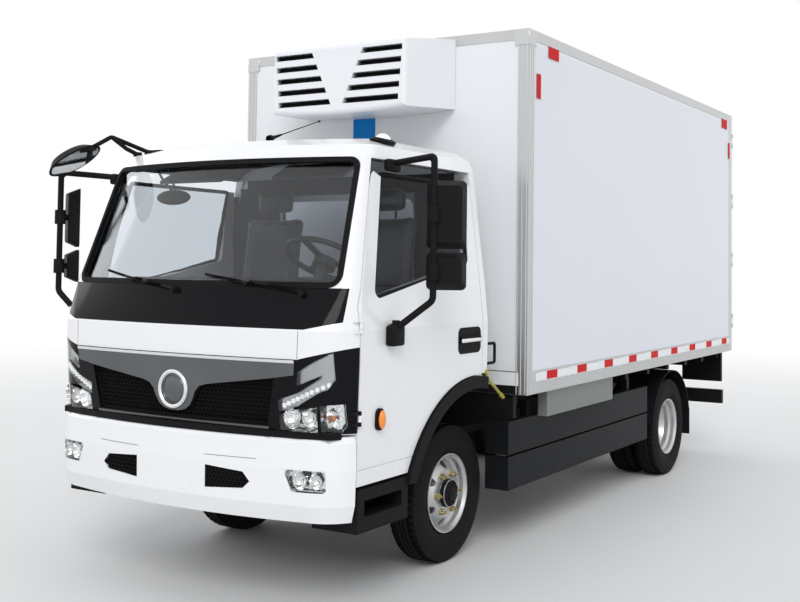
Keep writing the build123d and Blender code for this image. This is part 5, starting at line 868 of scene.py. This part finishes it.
# Mirror glass, on the turned heads and on the oval
mirrorSizes = {
    "turn": 34, "centreX": 1.1568, "tubes": {"left": (1, -2.337), "right": (-1, -2.582)},
    "heights": [(1.718, 2.052), (1.518, 1.702)], "width": 0.196, "edge": 0.012,
    "route": {
        "left": [(0.892, -2.400, 2.142), (1.140, -2.432, 2.164), (1.140, -2.432, 1.470), (1.010, -2.514, 1.350),
                 (0.985, -2.514, 1.335)],
        "right": [(-0.892, -2.528, 2.114), (-1.140, -2.722, 2.136), (-1.140, -2.722, 1.470),
                  (-1.010, -2.694, 1.350), (-0.985, -2.694, 1.335)]},
    "tube": 0.0165, "bend": 0.045, "sleeve": 0.0295, "footX": (0.9555, 1.010), "topX": (0.862, 0.905),
    "ovalCentre": (-0.955, -2.787, 2.190), "ovalFace": (0.752, 0.140, -0.645), "ovalLong": (0.234, 0.857, 0.458),
}
for name, (side, y) in mirrorSizes["tubes"].items():
    bm = bmesh.new()
    turn = math.radians(mirrorSizes["turn"])
    for low, high in mirrorSizes["heights"]:
        width, height = mirrorSizes["width"] / 2 - mirrorSizes["edge"], (high - low) / 2 - mirrorSizes["edge"]
        part = bmesh.new()
        addBlock(part, (-width, -0.001, -height), (width, 0.0015, height))
        uprights = [edge for edge in part.edges if abs((edge.verts[0].co - edge.verts[1].co).y) > 0.002]
        bevelEdges(part, uprights, 0.018, 5)
        bmesh.ops.rotate(part, verts=part.verts, cent=(0, 0, 0), matrix=Matrix.Rotation(side * turn, 3, "Z"))
        bmesh.ops.translate(part, vec=(side * mirrorSizes["centreX"], y, (low + high) / 2), verts=part.verts)
        addInto(bm, part)
    keep("mirror_glass_" + name, name + "_cab_door", bm, mirrorGlass, sharp=30)
    bm = bmesh.new()
    route = mirrorSizes["route"][name]
    addTube(bm, route, mirrorSizes["tube"], 16, mirrorSizes["bend"])
    x, tubeY, foot = route[1][0], route[1][1], route[-1]
    sleeve = mirrorSizes["sleeve"]
    for low, high in mirrorSizes["heights"]:
        middle = (low + high) / 2
        addSpun(bm, [(-0.040, 0.0150), (-0.040, sleeve - 0.003), (-0.037, sleeve), (0.037, sleeve),
                     (0.040, sleeve - 0.003), (0.040, 0.0150)], (x, tubeY, middle), (0, 0, 1), 24)
        for z in (middle - 0.018, middle + 0.018):
            addRod(bm, (x, tubeY - 0.020, z), (x, tubeY - 0.029, z), 0.006, None, 6)
    near, far = (side * value for value in mirrorSizes["footX"])
    addBlock(bm, (near, foot[1] - 0.050, foot[2] - 0.085), (far, foot[1] + 0.050, foot[2] + 0.016), 0.014, 3)
    addRod(bm, (foot[0], foot[1], foot[2] + 0.010), (foot[0], foot[1], foot[2] + 0.038), 0.019, None, 20)
    near, far = (side * value for value in mirrorSizes["topX"])
    top = route[0]
    addBlock(bm, (near, top[1] - 0.060, top[2] - 0.042), (far, top[1] + 0.045, top[2] + 0.018), 0.013, 3)
    keep("mirror_clamps_" + name, name + "_cab_door", bm, blackPlastic, sharp=40)
bm = bmesh.new()
bmesh.ops.create_circle(bm, cap_ends=True, segments=48, radius=1)
pushed = bmesh.ops.extrude_face_region(bm, geom=bm.faces[:])["geom"]
bmesh.ops.translate(bm, vec=(0, 0, 1), verts=vertsIn(pushed))
bmesh.ops.scale(bm, vec=(0.150, 0.073, 0.003), verts=bm.verts)
face, long = Vector(mirrorSizes["ovalFace"]).normalized(), Vector(mirrorSizes["ovalLong"]).normalized()
place = Matrix((long, face.cross(long), face)).transposed().to_4x4()
bmesh.ops.transform(bm, matrix=Matrix.Translation(mirrorSizes["ovalCentre"]) @ place, verts=bm.verts)
keep("oval_glass", "cab", bm, mirrorGlass, sharp=30)
print("stage: cab fittings and mirrors")

# Wipers
wiperSizes = {
    "pivots": [(-0.012, 1.503, -0.599, 1.593), (0.707, 1.503, 0.147, 1.583)], "bladeReach": 0.98, "bladeSteps": 12,
    "bladeRods": [(-0.010, 0.0062, 8), (-0.004, 0.0035, 6)], "armReach": 0.52, "armSteps": 6, "armRadius": 0.0075,
    "armTaper": 0.0004,
}
screenSurface = surfaceOf("windshield", "windshield_seal", "front_panel", "cab_shell")
bm = bmesh.new()
for pivotX, pivotZ, tipX, tipZ in wiperSizes["pivots"]:
    root, tip = Vector((pivotX, 0, pivotZ)), Vector((tipX, 0, tipZ))
    run = Vector((tipX - pivotX, 0, tipZ - pivotZ))
    reach, steps = wiperSizes["bladeReach"], wiperSizes["bladeSteps"]
    for step in range(steps):
        a, b = (tip - run * reach + run * (reach * part / steps) for part in (step, step + 1))
        for y, radius, corners in wiperSizes["bladeRods"]:
            addRod(bm, a + Vector((0, y, 0)), b + Vector((0, y, 0)), radius, None, corners)
    # arm, from the pivot to the middle of the blade
    middle = root + run * wiperSizes["armReach"]
    lift = Vector((0, -0.021, 0.010))
    for step in range(wiperSizes["armSteps"]):
        a, b = (root + (middle - root) * part / wiperSizes["armSteps"] for part in (step, step + 1))
        thick, thin = (wiperSizes["armRadius"] - wiperSizes["armTaper"] * part for part in (step, step + 1))
        addRod(bm, a + lift, b + lift, thick, thin, 10)
    addRod(bm, root + Vector((0, 0.004, 0)), root + Vector((0, -0.030, 0)), 0.017, 0.013, 20)
    addRod(bm, middle + Vector((0, -0.024, 0)), middle + Vector((0, -0.006, 0)), 0.009, 0.010, 12)
wrapFront(bm, screenSurface)
wipers = keep("wiper_arms", "cab", bm, blackPlastic, sharp=35)
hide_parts("wipers")
print("stage: wipers")

# Reflective tape above the side rails and at the corners
tapeSizes = {
    "lowZ": 0.967, "height": 0.049, "lift": 0.0012, "firstRed": -0.967, "redLength": 0.150, "pitch": 0.4520,
    "count": 9, "whiteLength": 0.120, "bandFrom": -1.115, "bandTo": 2.88, "bandTop": 1.012,
    "corners": [(-0.972, -0.827, 2.894, 2.965), (-1.135, -1.080, 2.629, 2.775), (2.652, 2.809, 2.885, 2.965),
                (2.850, 2.895, 2.627, 2.770)],
}


def addOnSide(bm, side, yLow, yHigh, zLow, zHigh, lift):
    addBlock(bm, (side * boxHigh.x, yLow, zLow), (side * boxHigh.x + side * lift, yHigh, zHigh))


for name, side in sides:
    band, red, white = bmesh.new(), bmesh.new(), bmesh.new()
    addOnSide(band, side, tapeSizes["bandFrom"], tapeSizes["bandTo"], tapeSizes["lowZ"] - 0.002, tapeSizes["bandTop"],
              tapeSizes["lift"] * 0.6)
    for index in range(tapeSizes["count"]):
        y = tapeSizes["firstRed"] + index * tapeSizes["pitch"]
        top = tapeSizes["lowZ"] + tapeSizes["height"]
        addOnSide(red, side, y, y + tapeSizes["redLength"], tapeSizes["lowZ"], top, tapeSizes["lift"])
        addOnSide(white, side, y - tapeSizes["whiteLength"] - 0.004, y - 0.004, tapeSizes["lowZ"], top,
                  tapeSizes["lift"])
    for yLow, yHigh, zLow, zHigh in tapeSizes["corners"]:
        addOnSide(red, side, yLow, yHigh, zLow, zHigh, tapeSizes["lift"])
    keep("rail_band_" + name, "chassis", band, panelWhite)
    keep("side_tape_red_" + name, "chassis", red, tapeRed)
    keep("side_tape_white_" + name, "chassis", white, tapeWhite)
print("stage: tape")

# Box: ribs on the rails, rounded post beads, corner covers with rivets, sticker, louvre blades over black plates
# painted as the shade in the louvre slots
boxSizes = {
    "ribZ": [0.905, 0.925, 0.945, 0.960], "ribRadius": 0.0035, "beadRadius": 0.0045,
    "postLines": [0.012, 0.040, 0.066], "cover": 0.092, "coverLift": 0.002, "coverTop": 3.022,
    "louvreInner": (0.170, 0.042), "louvreOuter": (0.462, 0.438), "louvreRows": 5,
    "stickerX": (-0.187, -0.018), "stickerZ": (2.430, 2.558),
    "louvreY": (-1.668, -1.640), "louvreTop": 2.912, "louvrePitch": 0.072, "louvreHeight": 0.034,
}
boxFront = boxLow.y
for name, side in sides:
    bm = bmesh.new()
    for z in boxSizes["ribZ"]:
        addRod(bm, (side * boxHigh.x, boxFront + 0.07, z), (side * boxHigh.x, 2.88, z), boxSizes["ribRadius"], None,
               10)
    keep("rail_ribs_" + name, "chassis", bm, aluminiumRail, sharp=40)
    bm = bmesh.new()
    for line in boxSizes["postLines"]:
        addRod(bm, (side * boxHigh.x, boxFront + line, 0.90), (side * boxHigh.x, boxFront + line, 3.015),
               boxSizes["beadRadius"], None, 10)
        addRod(bm, (side * (boxHigh.x - line), boxFront, 0.90), (side * (boxHigh.x - line), boxFront, 3.015),
               boxSizes["beadRadius"], None, 10)
    keep("post_beads_" + name, "chassis", bm, aluminiumPostWithPaintedHighlight, sharp=40)
    bm = bmesh.new()
    size, lift = boxSizes["cover"], boxSizes["coverLift"]
    x, zHigh = side * boxHigh.x, boxSizes["coverTop"]
    zLow = zHigh - size
    addBlock(bm, (x, boxFront - 2 * lift, zLow), (x + side * 2 * lift, boxFront + size, zHigh), 0.0015, 1)
    addBlock(bm, (x + side * lift, boxFront - 2 * lift, zLow), (x - side * size, boxFront, zHigh), 0.0015, 1)
    for y in (boxFront + 0.02, boxFront + size - 0.015):
        for z in (zLow + 0.016, zHigh - 0.016):
            addSpun(bm, [(0.0045, 0), (0.0035, 0.0035), (0.002, 0.0055), (0, 0.006)], (x + side * lift, y, z),
                    (side, 0, 0), 12)
    keep("corner_covers_" + name, "chassis", bm, aluminiumPostWithPaintedHighlight, sharp=40)
bm = bmesh.new()
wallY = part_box("box_front_wall")[0].y
addBlock(bm, (boxSizes["stickerX"][0], wallY - 0.0012, boxSizes["stickerZ"][0]),
         (boxSizes["stickerX"][1], wallY, boxSizes["stickerZ"][1]), 0.0004, 1)
keep("wall_sticker", "chassis", bm, blueFilm)
bm = bmesh.new()
for row in range(boxSizes["louvreRows"]):
    share = row / (boxSizes["louvreRows"] - 1)
    inner, outer = (first + (last - first) * share for first, last in
                    (boxSizes["louvreInner"], boxSizes["louvreOuter"]))
    top = boxSizes["louvreTop"] - row * boxSizes["louvrePitch"]
    for side in (1, -1):
        # A black plate in each louvre slot: painted shade in the recess.
        shadePlate = flatFace([(inner + 0.014, top), (outer, top), (outer, top - boxSizes["louvreHeight"]),
                          (inner, top - boxSizes["louvreHeight"])], side)
        seatOn(shadePlate, lambda x, z: boxSizes["louvreY"][1])
        pushBack(shadePlate, 0.012)
        addInto(bm, shadePlate)
        for level in (0.30, 0.72):
            z = top - boxSizes["louvreHeight"] * level
            addBlock(bm, (side * (inner + 0.012), boxSizes["louvreY"][0], z - 0.0015),
                     (side * (outer - 0.002), boxSizes["louvreY"][1] + 0.004, z + 0.0015))
keep("louvre_blades_and_shade_plates", "chassis", bm, blackPlastic, sharp=30)
print("stage: box")

# Front edge of the floor: a white band over a black one, between the corner posts
sillSizes = {"face": -1.240, "half": 1.004, "white": (0.946, 1.022), "black": (0.896, 0.946), "proud": 0.0025}
for label, finish in (("white", whitePaint), ("black", blackPlastic)):
    bm = bmesh.new()
    addBlock(bm, (-sillSizes["half"], sillSizes["face"] - sillSizes["proud"], sillSizes[label][0]),
             (sillSizes["half"], sillSizes["face"] + 0.004, sillSizes[label][1]), 0.001, 1)
    keep("front_sill_" + label, "chassis", bm, finish, sharp=30)

# Steel of the cargo doors: lock rods with keepers and handles, hinge straps, and a black gasket round each leaf
doorSizes = {
    "face": 2.965, "leafX": (0.0035, 0.9885), "leafZ": (1.036, 2.922), "gasket": 0.013, "rodX": (0.2591, 0.7329),
    "rodY": 2.983, "rodRadius": 0.0105, "keeperZ": (1.0916, 1.6769, 2.2811, 2.8664), "handleZ": 1.6014,
    "handleLength": 0.300, "strapX": (0.8385, 1.0300), "strapZ": (1.162, 1.713, 2.245, 2.796),
    "boltX": (0.862, 0.905, 0.948),
}
for name, side in sides:
    face = doorSizes["face"]
    bm = bmesh.new()
    for rodX, inward in zip(doorSizes["rodX"], (1, -1)):
        x = side * rodX
        addRod(bm, (x, doorSizes["rodY"], doorSizes["leafZ"][0] + 0.001),
               (x, doorSizes["rodY"], doorSizes["leafZ"][1] - 0.001), doorSizes["rodRadius"], None, 18)
        for z in doorSizes["keeperZ"]:
            addBlock(bm, (x - 0.0245, face - 0.001, z - 0.0315), (x + 0.0245, face + 0.0195, z + 0.0315), 0.003)
            for a, b in ((-0.017, -0.024), (0.017, -0.024), (-0.017, 0.024), (0.017, 0.024)):
                addSpun(bm, [(0.019, 0.0045), (0.022, 0.004), (0.0235, 0)], (x + a, face, z + b), (0, 1, 0), 8)
        reach = x + side * inward * doorSizes["handleLength"]
        z = doorSizes["handleZ"]
        addBlock(bm, (min(x, reach) - 0.001, face + 0.0170, z - 0.0145),
                 (max(x, reach) + 0.001, face + 0.0285, z + 0.0145), 0.004)
        addBlock(bm, (x - 0.020, face + 0.0165, z - 0.024), (x + 0.020, face + 0.0290, z + 0.024), 0.004)
        addBlock(bm, (reach - 0.016, face - 0.001, z - 0.030), (reach + 0.016, face + 0.0180, z + 0.030), 0.003)
    for z in doorSizes["strapZ"]:
        near, far = (side * value for value in doorSizes["strapX"])
        addBlock(bm, (near, face - 0.001, z - 0.0232), (far, face + 0.0082, z + 0.0232), 0.003)
        for boltX in doorSizes["boltX"]:
            addSpun(bm, [(0.0075, 0.0075), (0.0105, 0.007), (0.0125, 0.004), (0.013, 0)], (side * boltX, face, z),
                    (0, 1, 0), 12)
    keep("door_steel_" + name, name + "_cargo_door", bm, satinChrome, sharp=35)
    near, far = doorSizes["leafX"]
    low, high = doorSizes["leafZ"]
    bm = flatFace([(near, low), (far, low), (far, high), (near, high)], side)
    rimOnly(bm, doorSizes["gasket"])
    bmesh.ops.translate(bm, vec=(0, face - 0.001, 0), verts=bm.verts)
    pushBack(bm, 0.0035)
    keep("door_gasket_" + name, name + "_cargo_door", bm, sealRubber, sharp=30)

# Lamps at the back, in the black housings
tailSizes = {"z": (0.690, 0.800), "red": (0.800, 0.925), "amber": (0.720, 0.796), "white": (0.640, 0.716),
             "reach": 0.014}
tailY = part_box("tail_lamps")[1].y
for key, finish in (("red", lampRed), ("amber", lampAmber), ("white", lampWhite)):
    bm = bmesh.new()
    for side in (1, -1):
        near, far = (side * value for value in tailSizes[key])
        addBlock(bm, (near, tailY - 0.004, tailSizes["z"][0]), (far, tailY + tailSizes["reach"], tailSizes["z"][1]),
                 0.006, 3)
    keep("tail_lens_" + key, "chassis", bm, finish, sharp=40)

# Dark hub over each wheel's middle
hubSizes = {"radius": 0.0775, "cap": 0.046, "proud": 0.002, "bolts": 8, "boltCircle": 0.060}
for spot, (body, axleY, side, stations) in wheelSpots.items():
    tree = surfaceOf("wheel_" + spot)
    hit = tree.ray_cast(Vector((side * 1.4, axleY, axleHeight + 0.055)), Vector((-side, 0, 0)))[0]
    face = abs(hit.x)
    bm = bmesh.new()
    radius, cap, proud = hubSizes["radius"], hubSizes["cap"], hubSizes["proud"]
    profile = [(-0.028, radius), (-0.006, radius), (proud - 0.001, radius - 0.006), (proud, radius - 0.010),
               (proud, cap + 0.006), (proud + 0.004, cap), (proud + 0.012, cap - 0.003), (proud + 0.015, cap - 0.010),
               (proud + 0.015, 0)]
    addSpun(bm, profile, (side * face, axleY, axleHeight), (side, 0, 0), 40)
    for index in range(hubSizes["bolts"]):
        angle = (index + 0.5) * math.tau / hubSizes["bolts"]
        y = axleY + hubSizes["boltCircle"] * math.cos(angle)
        z = axleHeight + hubSizes["boltCircle"] * math.sin(angle)
        addRod(bm, (side * face, y, z), (side * (face + 0.008), y, z), 0.0065, None, 6)
    keep("hub_" + spot, body, bm, frameBlack, sharp=35)
print("stage: lamps at the back and hubs")

# Seats: crowned pads swollen by cloth pressure, over a plain base
seatSizes = {"width": 0.480, "cushion": (-2.172, -1.762, 1.292, 1.400), "back": (1.392, 1.925),
             "backY": (-1.850, -1.745), "lean": 0.070, "head": (1.945, 2.080), "headWidth": 0.26, "voxel": 0.006,
             "cap": 0.024, "frames": 20, "channelX": 0.118, "channelZ": 1.66, "channelDepth": 0.007,
             "middleY": -1.90, "middleZ": 1.34}
padSpots = []
for name, cadName in (("driver", "driver_seat"), ("passenger", "passenger_seat")):
    low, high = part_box(cadName)
    middle = (low.x + high.x) / 2
    half = seatSizes["width"] / 2
    yLow, yHigh, zLow, zHigh = seatSizes["cushion"]
    cushion = bmesh.new()
    addBlock(cushion, (middle - half + 0.018, yLow + 0.018, zLow + 0.012),
             (middle + half - 0.018, yHigh, zHigh - 0.014), 0.030, 4)
    back = bmesh.new()
    addBlock(back, (middle - half + 0.018, seatSizes["backY"][0] + 0.018, seatSizes["back"][0]),
             (middle + half - 0.018, seatSizes["backY"][1] - 0.010, seatSizes["back"][1] - 0.012), 0.034, 4)
    for vert in back.verts:
        share = (vert.co.z - seatSizes["back"][0]) / (seatSizes["back"][1] - seatSizes["back"][0])
        vert.co.y += seatSizes["lean"] * share
        vert.co.x = middle + (vert.co.x - middle) * (1 - 0.16 * max(0, share - 0.5))
    head = bmesh.new()
    addBlock(head, (middle - seatSizes["headWidth"] / 2 + 0.01, seatSizes["backY"][0] + 0.082, seatSizes["head"][0]),
             (middle + seatSizes["headWidth"] / 2 - 0.01, seatSizes["backY"][1] + 0.052, seatSizes["head"][1] - 0.008),
             0.030, 4)
    for part, bm in (("cushion", cushion), ("backrest", back), ("headrest", head)):
        pad = keep(name + "_" + part, "cab", bm, seatCloth, sharp=80)
        padSpots.append((pad, middle, part))
    base = bmesh.new()
    addBlock(base, (middle - half + 0.045, yLow + 0.05, low.z), (middle + half - 0.045, yHigh - 0.01, 1.300), 0.012, 2)
    addBlock(base, (middle - half + 0.010, yLow + 0.02, 1.262), (middle + half - 0.010, yHigh + 0.01, 1.306), 0.014, 3)
    for side in (1, -1):
        addRod(base, (middle + side * 0.06, seatSizes["backY"][1] + 0.02, 1.90),
               (middle + side * 0.06, seatSizes["backY"][1] + 0.026, 1.98), 0.006, None, 12)
    seatBase = keep(name + "_seat_base", "cab", base, dashPlastic, sharp=40)
    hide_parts(cadName)


def applyModifiers(pad):
    mesh = bpy.data.meshes.new_from_object(pad.evaluated_get(bpy.context.evaluated_depsgraph_get()))
    pad.modifiers.clear()
    old = pad.data
    pad.data = mesh
    bpy.data.meshes.remove(old)


swollen = {}
for pad, middle, part in padSpots:
    remesh = pad.modifiers.new("voxels", "REMESH")
    remesh.mode = "VOXEL"
    remesh.voxel_size = seatSizes["voxel"] * 1
    applyModifiers(pad)
    swollen[pad] = [vert.co.copy() for vert in pad.data.vertices]
    cloth = pad.modifiers.new("swell", "CLOTH")
    cloth.settings.use_pressure = True
    cloth.settings.uniform_pressure_force = 4
    cloth.settings.effector_weights.gravity = 0
    cloth.settings.quality = 4
    cloth.point_cache.frame_end = seatSizes["frames"]
for frameNumber in range(1, seatSizes["frames"] + 1):
    bpy.context.scene.frame_set(frameNumber)
for pad, middle, part in padSpots:
    applyModifiers(pad)
bpy.context.scene.frame_set(1)
for pad, middle, part in padSpots:
    start = swollen[pad]
    for vert, was in zip(pad.data.vertices, start):
        push = vert.co - was
        cap = seatSizes["cap"] * (0.45 if part == "headrest" else 0.7)
        if push.length > cap:
            vert.co = was + push.normalized() * cap
        if part != "headrest":
            # two sewn channels along the pad and one across it
            depth = seatSizes["channelDepth"]
            across = min(abs(abs(vert.co.x - middle) - seatSizes["channelX"]),
                         abs(vert.co.z - seatSizes["channelZ"]) if part == "backrest" else 1)
            outward = (was - Vector((middle, seatSizes["middleY"], seatSizes["middleZ"]))).normalized()
            vert.co += outward * -depth * math.exp(-(across / depth) ** 2)
    pad.data.polygons.foreach_set("use_smooth", [True] * len(pad.data.polygons))
    pad.data.update()
print("stage: seats")

# Camera, floor and light
cameraSizes = {"place": (3.8467, -6.932, 1.6450), "yaw": 30.4019, "pitch": 2.3218, "roll": 0.663, "lens": 49.23,
               "shift": (-0.0572, -0.1016)}
yaw, pitch, roll = (math.radians(cameraSizes[key]) for key in ("yaw", "pitch", "roll"))
forward = Vector((-math.sin(yaw) * math.cos(pitch), math.cos(yaw) * math.cos(pitch), math.sin(pitch)))
right = Vector((math.cos(yaw), math.sin(yaw), 0))
up = right.cross(forward)
rolledRight = right * math.cos(roll) + up * math.sin(roll)
rolledUp = -right * math.sin(roll) + up * math.cos(roll)
cameraData = bpy.data.cameras.new("photoCamera")
camera = placeObject("photoCamera", cameraData)
camera.matrix_world = Matrix.Translation(cameraSizes["place"]) @ Matrix(
    (rolledRight, rolledUp, -forward)).transposed().to_4x4()
cameraData.lens = cameraSizes["lens"]
cameraData.sensor_width = 36
cameraData.shift_x, cameraData.shift_y = cameraSizes["shift"]
cameraData.clip_end = 200
bpy.context.scene.camera = camera

floorSizes = {"radius": 60, "fadeFrom": 5.0, "fadeTo": 16.0}
bm = bmesh.new()
bmesh.ops.create_circle(bm, cap_ends=True, segments=96, radius=floorSizes["radius"])
mesh = meshFrom(bm, "floor")
floor = placeObject("floor", mesh)
floorFinish = finishOf("floorFinish", (0.74, 0.74, 0.74), 0.7, vary=0.03, patch=0.6, grain=60, bump=0.05)
tree = floorFinish.node_tree
reach = addNode(tree, "VectorMath", "Value", {0: placeIn(tree)}, operation="LENGTH")
fade = addNode(tree, "MapRange", "Result", {"Value": reach, "From Min": floorSizes["fadeFrom"],
                                            "From Max": floorSizes["fadeTo"]}, interpolation_type="SMOOTHSTEP")
seen = addNode(tree, "Math", "Value", {0: addNode(tree, "LightPath", "Is Camera Ray"), 1: fade},
               operation="MULTIPLY")
mix = addNode(tree, "MixShader", "Shader", {"Fac": seen, 1: tree.nodes["Principled BSDF"].outputs["BSDF"],
                                            2: addNode(tree, "Emission", "Emission")})
setInputs(tree, tree.nodes["Material Output"], {"Surface": mix})
mesh.materials.append(floorFinish)

world = bpy.data.worlds.new("studio")
bpy.context.scene.world = world
world.use_nodes = True
tree = world.node_tree
backdrop = tree.nodes["Background"]
setInputs(tree, backdrop, {"Color": (1, 1, 1, 1), "Strength": 1.0})
fill = addNode(tree, "Background", "Background", {"Color": (0.95, 0.975, 1.0, 1), "Strength": 0.78})
rays = tree.nodes.new("ShaderNodeLightPath").outputs
bright = rays["Is Camera Ray"]
for kind in ("Is Transmission Ray", "Is Glossy Ray"):
    bright = addNode(tree, "Math", "Value", {0: bright, 1: rays[kind]}, operation="MAXIMUM")
blend = addNode(tree, "MixShader", "Shader", {"Fac": bright, 1: fill, 2: backdrop.outputs["Background"]})
setInputs(tree, tree.nodes["World Output"], {"Surface": blend})

lampSizes = [("keySun", 1.35, 30, (0.70, -1.1, -1.0)), ("sideSun", 0.35, 40, (-1.0, 0.2, -0.5))]
for name, strength, spread, aim in lampSizes:
    light = bpy.data.lights.new(name, "SUN")
    light.energy = strength
    light.angle = math.radians(spread)
    lamp = placeObject(name, light)
    lamp.rotation_mode = "QUATERNION"
    lamp.rotation_quaternion = Vector((aim[0] * -1, aim[1] * -1, aim[2])).to_track_quat("-Z", "Y")
bpy.context.scene.view_settings.view_transform = "Standard"
print("stage: camera, floor and light")
